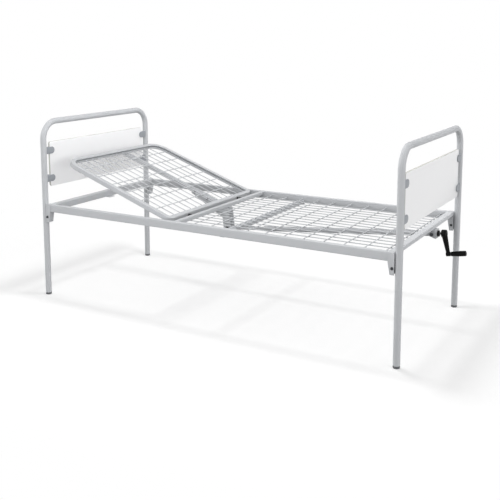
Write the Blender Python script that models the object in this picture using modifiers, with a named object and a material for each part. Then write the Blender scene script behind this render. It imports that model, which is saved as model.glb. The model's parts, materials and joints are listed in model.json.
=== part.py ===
"""Manual hospital bed with a backrest that a crank at the foot end raises.

Metres, +Z up. +X runs to the foot end, -Y is the near side, and the origin lies on the floor
under the middle of the whole bed, crank included. The backrest is drawn partly raised.
"""

from math import acos, asin, atan2, cos, floor, hypot, pi, radians, sin, sqrt, tan

import bmesh
import bpy
from mathutils import Matrix

# Fits
GAP = 0.0003             # between pieces that touch
WELD = 0.00001           # merge distance for seams
RUNNING_GAP = 0.0005     # round a turning or sliding piece

# Bed ends: bent tube hoops with a panel each
LEG_SPAN = 2.008         # leg centre to leg centre, along the bed
LEG_WIDTH = 0.900        # leg centre to leg centre, across the bed
HOOP_HEIGHT = 0.955      # centre line of the top tube
HOOP_TUBE_R = 0.016
HOOP_BEND_R = 0.095
CAP_HEIGHT = 0.012
CAP_CHAMFER = 0.002
CAP_SPIGOT_R = 0.0125
CAP_SPIGOT_LENGTH = 0.025
PANEL_DROP = 0.110       # centre line of the top tube to the panel's top edge
PANEL_HEIGHT = 0.245
PANEL_THICKNESS = 0.012
PANEL_EDGE_GAP = 0.024   # leg tube to panel edge
PANEL_CORNER_R = 0.012
CLIP_REACH = 0.056       # leg tube to the clip's free end
CLIP_HEIGHT = 0.037
CLIP_CHEEK = 0.0045
CLIP_INSET = 0.046       # panel edge to clip centre

# Base frame
RAIL_TOP = 0.510
RAIL_WIDTH = 0.025
RAIL_HEIGHT = 0.040
RAIL_END_GAP = 0.003     # leg tube to rail end
BAR_EDGE = 0.002         # bevel along rails and cross members
FOOT_CROSS_WIDTH = 0.034
FOOT_CROSS_HEIGHT = 0.020
FOOT_CROSS_SETBACK = 0.002
HEAD_CROSS_WIDTH = 0.035
HEAD_CROSS_HEIGHT = 0.035
HEAD_CROSS_SETBACK = 0.0065
HINGE_CROSS_WIDTH = 0.025
HINGE_CROSS_HEIGHT = 0.020
SEAT_LENGTH = 1.088      # clear length between the hinge and foot cross members
SUPPORT_BAR_SIZE = 0.020
SUPPORT_BAR_PLACE = 0.256    # from the hinge cross member

# Corner brackets that join the rails to the legs
BRACKET_PLATE = 0.003
BRACKET_DROP = 0.058     # below the rail
BRACKET_LENGTH = 0.030
BRACKET_TOE = 0.020      # length left at the bottom edge
BRACKET_BOLT_DROP = 0.029
BOLT_R = 0.004
BOLT_HEAD_R = 0.007
BOLT_HEAD = 0.0045
BOLT_OVERHANG = 0.003

# Welded wire mesh
WIRE = 0.005
WIRE_PITCH = 0.0523      # between the lengthwise wires
CROSS_WIRE_PITCH = 0.100
MESH_SIDE_MARGIN = 0.060
MESH_LAP = 0.010         # of the lengthwise wires under the cross members
SEAT_FIRST_WIRE = 0.056  # from the hinge cross member

# Backrest
REST_TILT = radians(19.5)
MAX_TILT = radians(55.0)
HINGE_REACH = 0.029      # hinge cross member to the hinge axis
HINGE_DROP = 0.0163      # hinge axis below the rail top
BACK_BAR = 0.025         # square section of the frame
BACK_BAR_EDGE = 0.0025   # bevel along the frame's bars
BACK_HEAD_BEND_R = 0.075 # middle of the bars, at the head corners
BACK_FOOT_BEND_R = 0.020 # middle of the bars, at the foot corners
BACK_BAR_REACH = 0.027   # hinge axis to the middle of the bottom bar
BACK_SIDE_CLEAR = 0.025
BACK_END_CLEAR = 0.008
BACK_FIRST_WIRE = 0.113  # from the middle of the bottom bar
BACK_MESH_DROP = 0.004   # middle of the bars to the top of the wires
HINGE_PLACE = 0.250      # hinge from the middle of the bed
HINGE_PLATE = 0.006
KNUCKLE_R = 0.009
EAR_BOTTOM = 0.003       # of the ear's arm, below the hinge axis
STRAP_HALF = 0.006       # half height of the strap's arm
HINGE_PIN_R = 0.004
HINGE_PIN_HEAD_R = 0.007
HINGE_PIN_HEAD = 0.003
STOP_WIDTH = 0.040
STOP_LENGTH = 0.036
STOP_THICKNESS = 0.004

# Lifting gear
MECH_Y = 0.110           # off the middle of the bed
SPINE_WIDTH = 0.040
SPINE_DEPTH = 0.016
LEVER_ARM = 0.137        # hinge axis to spindle axis
LEVER_LEAN = radians(1.5)    # of the lever to the foot, past square to the spindle, as drawn
LEVER_PLATE = 0.004
LEVER_HALF_WIDTH = 0.022
LEVER_BOLT_NEAR = 0.110  # from the hinge axis
LEVER_BOLT_FAR = 0.200
LEVER_BOLT_EDGE = 0.020
LEVER_SKIRT = 0.004      # of the plates below the spine
LEVER_GUSSET = 0.075     # along the lever, where its gusset ends
DRIVE_PIN_R = 0.005
DRIVE_PIN_HEAD_R = 0.011
DRIVE_PIN_HEAD = 0.003
SLOT_CLEAR = 0.0005

# Crank drive
PUSH_R = 0.010
PUSH_WALL = 0.002
PUSH_NOSE = 0.014        # of the push tube past the drive pin
PUSH_LENGTH = 0.900      # drive pin to the tail of the push tube
GUIDE_R = 0.014
GUIDE_WALL = 0.002
GUIDE_LENGTH = 0.945
GUIDE_TAIL = 0.012       # of the guide tube past the trunnion bolts
SLEEVE_LENGTH = 0.020    # of the bush in the guide tube's mouth
NUT_LENGTH = 0.024
NUT_FLANGE = 0.006
SCREW_R = 0.0055
SCREW_TIP = 0.020        # past the nut when the backrest is fully up
SCREW_IN_HUB = 0.012
SPINDLE_DROP = 0.016     # spindle axis below the foot cross member, at the hub
CRANK_PLATE = 0.003
CRANK_BRACKET_LENGTH = 0.047
CRANK_BRACKET_DROP = 0.041   # at the front
CRANK_BRACKET_HEEL = 0.025   # drop at the back
CRANK_BRACKET_FRONT = 0.015  # past the foot cross member
TRUNNION_BACK = 0.021    # behind the front of the bracket
TRUNNION_SPACE = 0.0115  # guide tube to the bracket's cheek
TRUNNION_R = 0.005
TRUNNION_HEAD_R = 0.009
TRUNNION_HEAD = 0.005
BUSH_R = 0.015
BUSH_FLANGE = 0.008
BUSH_NECK_R = 0.010
BUSH_NECK = 0.006
CRANK_REACH = 0.030      # hub centre past the leg centres
CRANK_HUB_R = 0.019
CRANK_HUB_LENGTH = 0.025
CRANK_HUB_EDGE = 0.003
CRANK_THROW = 0.101
CRANK_LEAN = radians(8.0)    # of the arm to the foot, past square to the spindle
CRANK_ARM_TOP_R = 0.0145
CRANK_ARM_END_R = 0.009
CRANK_BOSS_R = 0.0105
CRANK_BOSS_LENGTH = 0.020
GRIP_LIFT = radians(4.5) # of the grip past the line of the spindle
GRIP_R = 0.0132
GRIP_NECK_R = 0.011
GRIP_LENGTH = 0.073
GRIP_EDGE = 0.003
GRIP_PIN_R = 0.005
GRIP_PIN_COLLAR_R = 0.0075
GRIP_PIN_COLLAR = 0.003
GRIP_PIN_SHORT = 0.012   # pin end inside the grip's end

# Facets
TUBE_BEVEL_STEPS = 6     # 16 sides
BEND_STEPS = 7
ROUND_STEPS = 16
BORE_STEPS = 24
BOLT_STEPS = 12

# Sizes worked out from the driving dimensions
HALF_SPAN = LEG_SPAN / 2
HALF_WIDTH = LEG_WIDTH / 2
LEG_FACE = HALF_SPAN - HOOP_TUBE_R
PANEL_BOTTOM = HOOP_HEIGHT - PANEL_DROP - PANEL_HEIGHT
RAIL_LENGTH = 2 * (LEG_FACE - RAIL_END_GAP)
RAIL_INNER = HALF_WIDTH - RAIL_WIDTH / 2
RAIL_BOTTOM = RAIL_TOP - RAIL_HEIGHT
CROSS_LENGTH = 2 * (RAIL_INNER - GAP)
END_CROSS_LENGTH = CROSS_LENGTH - 2 * (BRACKET_PLATE + GAP)
FOOT_CROSS_X = LEG_FACE - FOOT_CROSS_SETBACK - FOOT_CROSS_WIDTH / 2
FOOT_CROSS_BOTTOM = RAIL_TOP - FOOT_CROSS_HEIGHT
HEAD_CROSS_X = HEAD_CROSS_SETBACK + HEAD_CROSS_WIDTH / 2 - LEG_FACE
HEAD_CROSS_FACE = HEAD_CROSS_X + HEAD_CROSS_WIDTH / 2
SEAT_END = FOOT_CROSS_X - FOOT_CROSS_WIDTH / 2
SEAT_START = SEAT_END - SEAT_LENGTH
HINGE_CROSS_X = SEAT_START - HINGE_CROSS_WIDTH / 2
MESH_TOP = RAIL_TOP - max(FOOT_CROSS_HEIGHT, HINGE_CROSS_HEIGHT) - GAP
SUPPORT_BAR_X = SEAT_START + SUPPORT_BAR_PLACE
SUPPORT_BAR_TOP = MESH_TOP - WIRE - GAP

HINGE_X = HINGE_CROSS_X - HINGE_CROSS_WIDTH / 2 - HINGE_REACH
HINGE_Z = RAIL_TOP - HINGE_DROP
BACK_LENGTH = HINGE_X - BACK_BAR_REACH - HEAD_CROSS_FACE - BACK_END_CLEAR - BACK_BAR / 2
BACK_HALF_WIDTH = RAIL_INNER - BACK_SIDE_CLEAR - BACK_BAR / 2
BAR_FACE = BACK_BAR_REACH - BACK_BAR / 2     # hinge axis to the bottom bar
BACK_HEAD = -BACK_BAR_REACH - BACK_LENGTH    # middle of the top bar
SPINE_TOP = -BACK_BAR / 2 - GAP
SPINE_BOTTOM = SPINE_TOP - SPINE_DEPTH
SPINE_MIDDLE = SPINE_TOP - SPINE_DEPTH / 2
LEVER_BOLTS = (("front", -LEVER_BOLT_NEAR), ("rear", -LEVER_BOLT_FAR))

HUB_X = HALF_SPAN + CRANK_REACH
HUB_Z = FOOT_CROSS_BOTTOM - SPINDLE_DROP
HUB_TO_HINGE = hypot(HUB_X - HINGE_X, HUB_Z - HINGE_Z)
SPINDLE_RISE = asin(LEVER_ARM / HUB_TO_HINGE) + atan2(HUB_Z - HINGE_Z, HUB_X - HINGE_X)
LEVER_FOOT = -sqrt(HUB_TO_HINGE ** 2 - LEVER_ARM ** 2)
LEVER_FLAT = LEVER_LEAN + REST_TILT
LEVER_UP = LEVER_FLAT - MAX_TILT


def slot_fit(low, high):
    """Fit a steady pin travel to a slotted lever swinging from low to high, for a lever of length one.

    Gives the travel per radian, its offset, and how far the pin strays from the middle of the slot.
    """
    rate = (tan(high) - tan(low)) / (high - low)
    turn = acos(1 / sqrt(rate))
    misses = [tan(a) - rate * a for a in (low, high, -turn, turn) if low <= a <= high]
    return rate, (max(misses) + min(misses)) / 2, (max(misses) - min(misses)) / 2


PIN_RATE, PIN_SHIFT, PIN_STRAY = slot_fit(LEVER_UP, LEVER_FLAT)
PIN_TRAVEL = LEVER_ARM * PIN_RATE        # metres towards the head per radian of tilt
PIN_PLACE = LEVER_FOOT + LEVER_ARM * (PIN_RATE * LEVER_LEAN + PIN_SHIFT)
SLOT_HALF_WIDTH = DRIVE_PIN_R + LEVER_ARM * PIN_STRAY + SLOT_CLEAR
SLOT_END = LEVER_ARM / cos(max(LEVER_FLAT, -LEVER_UP))
SLOT_ANGLE = SPINDLE_RISE + LEVER_FLAT   # from straight down when the backrest lies flat
LEVER_OFFSET = SPINE_WIDTH / 2 + GAP + LEVER_PLATE / 2

BRACKET_FRONT = FOOT_CROSS_X + FOOT_CROSS_WIDTH / 2 + CRANK_BRACKET_FRONT
TRUNNION_S = (BRACKET_FRONT - TRUNNION_BACK - HUB_X) / cos(SPINDLE_RISE)
BUSH_BACK = (BRACKET_FRONT + BUSH_R * sin(SPINDLE_RISE) + GAP - HUB_X) / cos(SPINDLE_RISE)
GUIDE_END = TRUNNION_S + GUIDE_TAIL
GUIDE_START = GUIDE_END - GUIDE_LENGTH
GUIDE_BORE = (GUIDE_R - GUIDE_WALL) * cos(pi / ROUND_STEPS)
PUSH_TAIL = PIN_PLACE + PUSH_LENGTH
SCREW_END = PUSH_TAIL - PIN_TRAVEL * (MAX_TILT - REST_TILT) - NUT_LENGTH - SCREW_TIP
PIN_COLLAR_BACK = CRANK_BOSS_LENGTH / 2 + GAP
GRIP_START = PIN_COLLAR_BACK + GRIP_PIN_COLLAR + GAP
GRIP_END = GRIP_START + GRIP_LENGTH

GRIP_RISE = SPINDLE_RISE + GRIP_LIFT
GRIP_X = HUB_X + CRANK_THROW * sin(SPINDLE_RISE + CRANK_LEAN)
BED_START = -HALF_SPAN - HOOP_TUBE_R
BED_END = GRIP_X + max(cos(GRIP_RISE) * GRIP_END + sin(GRIP_RISE) * (GRIP_R - GRIP_EDGE),
                       cos(GRIP_RISE) * (GRIP_END - GRIP_EDGE) + sin(GRIP_RISE) * GRIP_R)
BED_MIDDLE = (BED_START + BED_END) / 2


def clear_scene():
    """Empty the scene of objects."""
    for obj in list(bpy.data.objects):
        bpy.data.objects.remove(obj, do_unlink=True)


def new_collection(name):
    """Make a collection in the scene."""
    made = bpy.data.collections.new(name)
    bpy.context.scene.collection.children.link(made)
    return made


def finish(name, colour, roughness, metallic=0.0):
    """Make a plain surface finish."""
    made = bpy.data.materials.new(name)
    made.use_nodes = True
    shader = made.node_tree.nodes["Principled BSDF"]
    shader.inputs["Base Color"].default_value = (*colour, 1.0)
    shader.inputs["Roughness"].default_value = roughness
    shader.inputs["Metallic"].default_value = metallic
    made.diffuse_color = (*colour, 1.0)
    return made


def axis_empty(name, parent, location, tilt=0.0):
    """Make an empty that carries pieces on an axis; tilt turns it about Y."""
    made = bpy.data.objects.new(name, None)
    PARTS.objects.link(made)
    made.parent = parent
    made.location = location
    made.rotation_euler = (0.0, tilt, 0.0)
    return made


def piece(name, mesh, surface, parent, location=(0, 0, 0), turn=(0, 0, 0), smooth=False):
    """Put a mesh in the bed as a named piece."""
    made = bpy.data.objects.new(name, mesh)
    PARTS.objects.link(made)
    made.parent = parent
    made.location = location
    made.rotation_euler = turn
    if not mesh.materials:
        mesh.materials.append(surface)
    if smooth:
        mesh.shade_smooth()
        mesh.set_sharp_from_angle(angle=radians(40))
    return made


def cutter(name, mesh, parent, location=(0, 0, 0), turn=(0, 0, 0)):
    """Put a mesh in the bed as a hidden tool for cutting or joining."""
    made = bpy.data.objects.new(name, mesh)
    CUTTERS.objects.link(made)
    made.parent = parent
    made.location = location
    made.rotation_euler = turn
    made.hide_render = True
    made.display_type = "WIRE"
    return made


def make_tool(obj):
    """Hide a piece that is only joined to another."""
    PARTS.objects.unlink(obj)
    CUTTERS.objects.link(obj)
    obj.hide_render = True
    obj.display_type = "WIRE"


def combine(target, tool, operation="DIFFERENCE"):
    """Cut a piece with a tool, or join the tool to it."""
    step = target.modifiers.new(tool.name, "BOOLEAN")
    step.operation = operation
    step.solver = "EXACT"
    step.object = tool


def bevel(target, width):
    """Break the long edges of a piece."""
    step = target.modifiers.new("edges", "BEVEL")
    step.width = width
    step.segments = 1
    step.limit_method = "ANGLE"


def box_mesh(name, size, centre=(0, 0, 0)):
    """Make a box mesh."""
    mesh = bpy.data.meshes.new(name)
    bm = bmesh.new()
    bmesh.ops.create_cube(bm, size=1.0, matrix=Matrix.Translation(centre) @ Matrix.Diagonal((*size, 1.0)))
    bm.to_mesh(mesh)
    bm.free()
    return mesh


def rod_mesh(name, radius, length, steps=ROUND_STEPS):
    """Make a solid cylinder along Z, centred."""
    mesh = bpy.data.meshes.new(name)
    bm = bmesh.new()
    bmesh.ops.create_cone(
        bm, cap_ends=True, segments=steps, radius1=radius, radius2=radius, depth=length)
    bm.to_mesh(mesh)
    bm.free()
    return mesh


def pipe(name, radius, wall, length, surface, parent, location, turn):
    """Make a straight tube that is open at both ends."""
    mesh = bpy.data.meshes.new(name)
    bm = bmesh.new()
    bmesh.ops.create_cone(
        bm, cap_ends=False, segments=ROUND_STEPS, radius1=radius, radius2=radius, depth=length)
    bm.to_mesh(mesh)
    bm.free()
    made = piece(name, mesh, surface, parent, location, turn, smooth=True)
    shell = made.modifiers.new("wall", "SOLIDIFY")
    shell.thickness = wall
    shell.offset = -1.0
    shell.use_even_offset = True
    return made


def turned(name, profile, steps, surface, parent, location, turn):
    """Turn a profile of (radius, height) points, listed from the top down, about Z."""
    mesh = bpy.data.meshes.new(name)
    closed = profile[0][0] > WELD
    count = len(profile)
    edges = [(i, i + 1) for i in range(count - 1)]
    if closed:
        edges.append((count - 1, 0))
    mesh.from_pydata([(radius, 0.0, height) for radius, height in profile], edges, [])
    made = piece(name, mesh, surface, parent, location, turn)
    lathe = made.modifiers.new("turn", "SCREW")
    lathe.axis = "Z"
    lathe.steps = steps
    lathe.render_steps = steps
    lathe.use_merge_vertices = True
    lathe.merge_threshold = WELD
    lathe.use_smooth_shade = False
    return made


def curve_mesh(name, curve):
    """Turn a curve into a mesh with its caps welded on."""
    source = bpy.data.objects.new(name + "_curve", curve)
    bpy.context.scene.collection.objects.link(source)
    depsgraph = bpy.context.evaluated_depsgraph_get()
    mesh = bpy.data.meshes.new_from_object(source.evaluated_get(depsgraph))
    mesh.name = name
    bpy.data.objects.remove(source)
    bpy.data.curves.remove(curve)
    bm = bmesh.new()
    bm.from_mesh(mesh)
    bmesh.ops.remove_doubles(bm, verts=bm.verts, dist=WELD)
    bm.to_mesh(mesh)
    bm.free()
    return mesh


def add_spline(curve, points, cyclic):
    """Add a run of straight segments to a curve."""
    spline = curve.splines.new("POLY")
    spline.points.add(len(points) - 1)
    for slot, point in zip(spline.points, points):
        slot.co = (*point, 1.0)
    spline.use_cyclic_u = cyclic


def tube_mesh(name, points, radius, cyclic=False):
    """Make a round bar along points."""
    curve = bpy.data.curves.new(name, "CURVE")
    curve.dimensions = "3D"
    curve.bevel_depth = radius
    curve.bevel_resolution = TUBE_BEVEL_STEPS
    curve.use_fill_caps = True
    add_spline(curve, points, cyclic)
    return curve_mesh(name, curve)


def bar_ring_mesh(name, points, size, edge):
    """Make a closed run of square bar along points in XY, with its long edges broken."""
    half, flat = size / 2, size / 2 - edge
    section = bpy.data.curves.new(name + "_section", "CURVE")
    add_spline(section, [(flat, -half, 0), (-flat, -half, 0), (-half, -flat, 0), (-half, flat, 0),
                         (-flat, half, 0), (flat, half, 0), (half, flat, 0), (half, -flat, 0)], True)
    profile = bpy.data.objects.new(name + "_section", section)
    bpy.context.scene.collection.objects.link(profile)
    curve = bpy.data.curves.new(name, "CURVE")
    curve.dimensions = "3D"
    curve.twist_mode = "Z_UP"
    curve.bevel_mode = "OBJECT"
    curve.bevel_object = profile
    add_spline(curve, [(x, y, 0.0) for x, y in points], True)
    mesh = curve_mesh(name, curve)
    bpy.data.objects.remove(profile)
    bpy.data.curves.remove(section)
    return mesh


def plate_mesh(name, outlines, thickness):
    """Make a flat plate in XY from its outline and its holes."""
    curve = bpy.data.curves.new(name, "CURVE")
    curve.dimensions = "2D"
    curve.fill_mode = "BOTH"
    curve.extrude = thickness / 2
    for outline in outlines:
        add_spline(curve, [(x, y, 0.0) for x, y in outline], True)
    return curve_mesh(name, curve)


def arc(centre, radius, start, end, steps):
    """Points on an arc, both ends included."""
    angles = [start + (end - start) * i / steps for i in range(steps + 1)]
    return [(centre[0] + radius * cos(a), centre[1] + radius * sin(a)) for a in angles]


def circle(centre, radius, steps=BORE_STEPS):
    """Points round a circle."""
    return arc(centre, radius, 0.0, 2 * pi, steps)[:-1]


def rounded_rectangle(half_x, half_y, front_r, back_r, steps=4):
    """Outline of a rectangle with round corners, those at +X and at -X with a radius each."""
    points = []
    for index, (sx, sy) in enumerate(((1, 1), (-1, 1), (-1, -1), (1, -1))):
        radius = front_r if sx > 0 else back_r
        centre = (sx * (half_x - radius), sy * (half_y - radius))
        points += arc(centre, radius, index * pi / 2, (index + 1) * pi / 2, steps)
    return points


UPRIGHT_ACROSS = (pi / 2, 0, pi / 2)   # a plate's XY becomes the bed's YZ
UPRIGHT_ALONG = (pi / 2, 0, 0)         # a plate's XY becomes the bed's XZ
POINT_TO_NEAR = (pi / 2, 0, 0)         # a turned piece's top points to -Y
POINT_TO_FAR = (-pi / 2, 0, 0)         # a turned piece's top points to +Y
POINT_TO_FOOT = (0, pi / 2, 0)         # a turned piece's top points to +X


def bolt_profile(head_r, head, shank_r, shank):
    """Half section of a bolt whose head starts at height zero."""
    return [(0, head), (head_r, head), (head_r, 0), (shank_r, 0), (shank_r, -shank), (0, -shank)]


def make_hoop(end, sign):
    """Bend the hoop of one bed end, bored for its foot caps, and add the caps."""
    inner = HALF_WIDTH - HOOP_BEND_R
    shoulder = HOOP_HEIGHT - HOOP_BEND_R
    near_bend = arc((-inner, shoulder), HOOP_BEND_R, pi, pi / 2, BEND_STEPS)
    far_bend = arc((inner, shoulder), HOOP_BEND_R, pi / 2, 0, BEND_STEPS)
    start = CAP_HEIGHT + GAP
    path = [(-HALF_WIDTH, start), *near_bend, *far_bend, (HALF_WIDTH, start)]
    mesh = tube_mesh(end + "_hoop", [(0.0, y, z) for y, z in path], HOOP_TUBE_R)
    hoop = piece(end + "_hoop", mesh, PAINT, BED, (sign * HALF_SPAN, 0, 0), smooth=True)
    for side, y in SIDES:
        depth = CAP_SPIGOT_LENGTH + GAP
        bore = rod_mesh("leg_bore", CAP_SPIGOT_R + GAP, 2 * depth, BORE_STEPS)
        place = (sign * HALF_SPAN, y, start)
        combine(hoop, cutter(f"{end}_{side}_leg_bore", bore, BED, place))
        top = start + CAP_SPIGOT_LENGTH
        spigot = CAP_SPIGOT_R * cos(pi / BORE_STEPS)
        profile = [(0, top), (spigot, top), (spigot, CAP_HEIGHT), (HOOP_TUBE_R, CAP_HEIGHT),
                   (HOOP_TUBE_R, CAP_CHAMFER), (HOOP_TUBE_R - CAP_CHAMFER, 0), (0, 0)]
        turned(f"{end}_{side}_foot_cap", profile, ROUND_STEPS, RUBBER, BED,
               (sign * HALF_SPAN, y, 0), (0, 0, 0))


def clip_mesh():
    """Model the clip that holds a panel's edge to a leg; the leg is towards +X of the clip."""
    outer = PANEL_THICKNESS / 2 + GAP + CLIP_CHEEK
    panel_edge = -PANEL_EDGE_GAP + GAP
    half = CLIP_HEIGHT / 2
    free_end = (half - CLIP_REACH, 0.0)
    shape = [*arc(free_end, half, 3 * pi / 2, pi / 2, 2 * BEND_STEPS), (HOOP_TUBE_R, half),
             (HOOP_TUBE_R, -half)]
    clip = cutter("clip_blank", plate_mesh("panel_clip", [shape], 2 * outer), None)
    slot = box_mesh("clip_slot", (CLIP_REACH, 2 * CLIP_HEIGHT, PANEL_THICKNESS + 2 * GAP),
                    (panel_edge - CLIP_REACH / 2, 0, 0))
    combine(clip, cutter("clip_slot", slot, None))
    leg = rod_mesh("clip_leg", HOOP_TUBE_R + GAP, 2 * CLIP_HEIGHT, BORE_STEPS)
    combine(clip, cutter("clip_leg", leg, None, (HOOP_TUBE_R, 0, 0), (pi / 2, 0, 0)))
    bpy.context.view_layer.update()
    depsgraph = bpy.context.evaluated_depsgraph_get()
    mesh = bpy.data.meshes.new_from_object(clip.evaluated_get(depsgraph))
    mesh.name = "panel_clip"
    for tool in [step.object for step in clip.modifiers]:
        bpy.data.objects.remove(tool)
    bpy.data.objects.remove(clip)
    return mesh


def make_panel(end, sign, clip):
    """Fit the panel of one bed end and the four clips that carry it."""
    half_y = HALF_WIDTH - HOOP_TUBE_R - PANEL_EDGE_GAP
    centre_z = PANEL_BOTTOM + PANEL_HEIGHT / 2
    outline = rounded_rectangle(half_y, PANEL_HEIGHT / 2, PANEL_CORNER_R, PANEL_CORNER_R)
    mesh = plate_mesh(end + "_panel", [outline], PANEL_THICKNESS)
    piece(end + "_panel", mesh, LAMINATE, BED, (sign * HALF_SPAN, 0, centre_z), UPRIGHT_ACROSS)
    levels = (("lower", PANEL_BOTTOM + CLIP_INSET), ("upper", PANEL_BOTTOM + PANEL_HEIGHT - CLIP_INSET))
    for side, y in SIDES:
        facing = 1 if y > 0 else -1
        for level, z in levels:
            place = (sign * HALF_SPAN, y - facing * HOOP_TUBE_R, z)
            piece(f"{end}_{side}_{level}_clip", clip, CLIP_PLASTIC, BED, place,
                  (pi / 2, 0, facing * pi / 2))


def make_corner(end, sign, side, y):
    """Make the bracket that holds a rail's end to a leg, with its cross bolt."""
    facing = 1 if y > 0 else -1
    name = f"{end}_{side}_corner_bracket"
    outer = RAIL_WIDTH / 2 + GAP + BRACKET_PLATE
    leg_side = LEG_FACE - GAP
    bed_side = leg_side - BRACKET_LENGTH
    bottom = RAIL_BOTTOM - BRACKET_DROP
    shape = [(leg_side, bottom), (leg_side, RAIL_TOP), (bed_side, RAIL_TOP),
             (bed_side, RAIL_BOTTOM - BRACKET_PLATE), (leg_side - BRACKET_TOE, bottom)]
    outline = [(sign * x, z) for x, z in shape]
    mesh = plate_mesh(name, [outline], 2 * outer)
    bracket = piece(name, mesh, PAINT, BED, (0, y, 0), UPRIGHT_ALONG)
    rail = box_mesh(name + "_rail", (2 * BRACKET_LENGTH, RAIL_WIDTH + 2 * GAP, 2 * RAIL_HEIGHT))
    rail_place = (sign * (leg_side - BRACKET_LENGTH / 2), y, RAIL_BOTTOM - GAP + RAIL_HEIGHT)
    combine(bracket, cutter(name + "_rail", rail, BED, rail_place))
    pocket_top = RAIL_BOTTOM - GAP - BRACKET_PLATE
    below = bottom - BRACKET_PLATE
    slope = (BRACKET_LENGTH - BRACKET_TOE) / (BRACKET_DROP - BRACKET_PLATE)
    web = bed_side + BRACKET_PLATE
    past_leg = leg_side + BRACKET_PLATE
    hollow = [(past_leg, below), (past_leg, pocket_top), (web, pocket_top),
              (web + slope * (pocket_top - below), below)]
    pocket = plate_mesh(name + "_pocket", [[(sign * x, z) for x, z in hollow]], RAIL_WIDTH)
    combine(bracket, cutter(name + "_pocket", pocket, BED, (0, y, 0), UPRIGHT_ALONG))
    bolt_x = sign * (leg_side - BRACKET_TOE / 2)
    bolt_z = RAIL_BOTTOM - BRACKET_BOLT_DROP
    hole = rod_mesh(name + "_hole", BOLT_R + GAP, 4 * outer, BORE_STEPS)
    combine(bracket, cutter(name + "_hole", hole, BED, (bolt_x, y, bolt_z), (pi / 2, 0, 0)))
    profile = bolt_profile(BOLT_HEAD_R, BOLT_HEAD, BOLT_R, 2 * outer + BOLT_OVERHANG)
    turned(f"{end}_{side}_corner_bolt", profile, BOLT_STEPS, ZINC, BED,
           (bolt_x, y + facing * (outer + GAP), bolt_z), POINT_TO_FAR if facing > 0 else POINT_TO_NEAR)


def make_bar(name, size, centre):
    """Make a straight rail or cross member."""
    bar = piece(name, box_mesh(name, size), PAINT, BED, centre)
    bevel(bar, BAR_EDGE)


def make_base_frame():
    """Lay the rails and cross members."""
    for side, y in SIDES:
        make_bar(side + "_side_rail", (RAIL_LENGTH, RAIL_WIDTH, RAIL_HEIGHT),
                 (0, y, RAIL_TOP - RAIL_HEIGHT / 2))
    make_bar("head_cross_member", (HEAD_CROSS_WIDTH, END_CROSS_LENGTH, HEAD_CROSS_HEIGHT),
             (HEAD_CROSS_X, 0, RAIL_TOP - HEAD_CROSS_HEIGHT / 2))
    make_bar("foot_cross_member", (FOOT_CROSS_WIDTH, END_CROSS_LENGTH, FOOT_CROSS_HEIGHT),
             (FOOT_CROSS_X, 0, RAIL_TOP - FOOT_CROSS_HEIGHT / 2))
    make_bar("hinge_cross_member", (HINGE_CROSS_WIDTH, CROSS_LENGTH, HINGE_CROSS_HEIGHT),
             (HINGE_CROSS_X, 0, RAIL_TOP - HINGE_CROSS_HEIGHT / 2))
    make_bar("mesh_support_bar", (SUPPORT_BAR_SIZE, CROSS_LENGTH, SUPPORT_BAR_SIZE),
             (SUPPORT_BAR_X, 0, SUPPORT_BAR_TOP - SUPPORT_BAR_SIZE / 2))
    stop_top = HINGE_Z - BACK_BAR / 2 - RUNNING_GAP
    stop = box_mesh("backrest_stop", (STOP_LENGTH, STOP_WIDTH, STOP_THICKNESS))
    piece("backrest_stop", stop, PAINT, BED,
          (HEAD_CROSS_FACE + GAP + STOP_LENGTH / 2, 0, stop_top - STOP_THICKNESS / 2))


def wire_lattice(name, along, across, x_range, y_range):
    """Make a flat lattice of wires: those at the Y values run along X, those at X values across."""
    x_cuts = sorted([*x_range, *(x + s * WIRE / 2 for x in across for s in (-1, 1))])
    y_cuts = sorted([*y_range, *(y + s * WIRE / 2 for y in along for s in (-1, 1))])
    bm = bmesh.new()
    bmesh.ops.create_grid(bm, x_segments=len(x_cuts) - 1, y_segments=len(y_cuts) - 1, size=1.0)
    columns = {round(v.co.x, 5) for v in bm.verts}
    rows = {round(v.co.y, 5) for v in bm.verts}
    x_of = dict(zip(sorted(columns), x_cuts))
    y_of = dict(zip(sorted(rows), y_cuts))
    for vert in bm.verts:
        vert.co.x, vert.co.y = x_of[round(vert.co.x, 5)], y_of[round(vert.co.y, 5)]

    def on_wire(face):
        middle = face.calc_center_median()
        return (any(abs(middle.y - y) < WIRE / 2 for y in along)
                or any(abs(middle.x - x) < WIRE / 2 for x in across))

    holes = [face for face in bm.faces if not on_wire(face)]
    bmesh.ops.delete(bm, geom=holes, context="FACES")
    mesh = bpy.data.meshes.new(name)
    bm.to_mesh(mesh)
    bm.free()
    return mesh


def thicken_wires(lattice):
    """Give a lattice the thickness of its wires, downwards."""
    step = lattice.modifiers.new("wires", "SOLIDIFY")
    step.thickness = WIRE
    step.offset = -1.0


def wire_rows(half_width):
    """Places of the lengthwise wires across a mesh of some half width."""
    rows = floor((half_width - MESH_SIDE_MARGIN) / WIRE_PITCH)
    return [i * WIRE_PITCH for i in range(-rows, rows + 1)]


def make_seat_mesh():
    """Weld the fixed mesh between the hinge and foot cross members."""
    half = RAIL_INNER - GAP
    count = floor((SEAT_LENGTH - SEAT_FIRST_WIRE - WIRE) / CROSS_WIRE_PITCH) + 1
    across = [SEAT_START + SEAT_FIRST_WIRE + i * CROSS_WIRE_PITCH for i in range(count)]
    mesh = wire_lattice("seat_mesh", wire_rows(half), across,
                        (SEAT_START - MESH_LAP, SEAT_END + MESH_LAP), (-half, half))
    thicken_wires(piece("seat_mesh", mesh, WIRE_PAINT, BED, (0, 0, MESH_TOP)))


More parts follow.
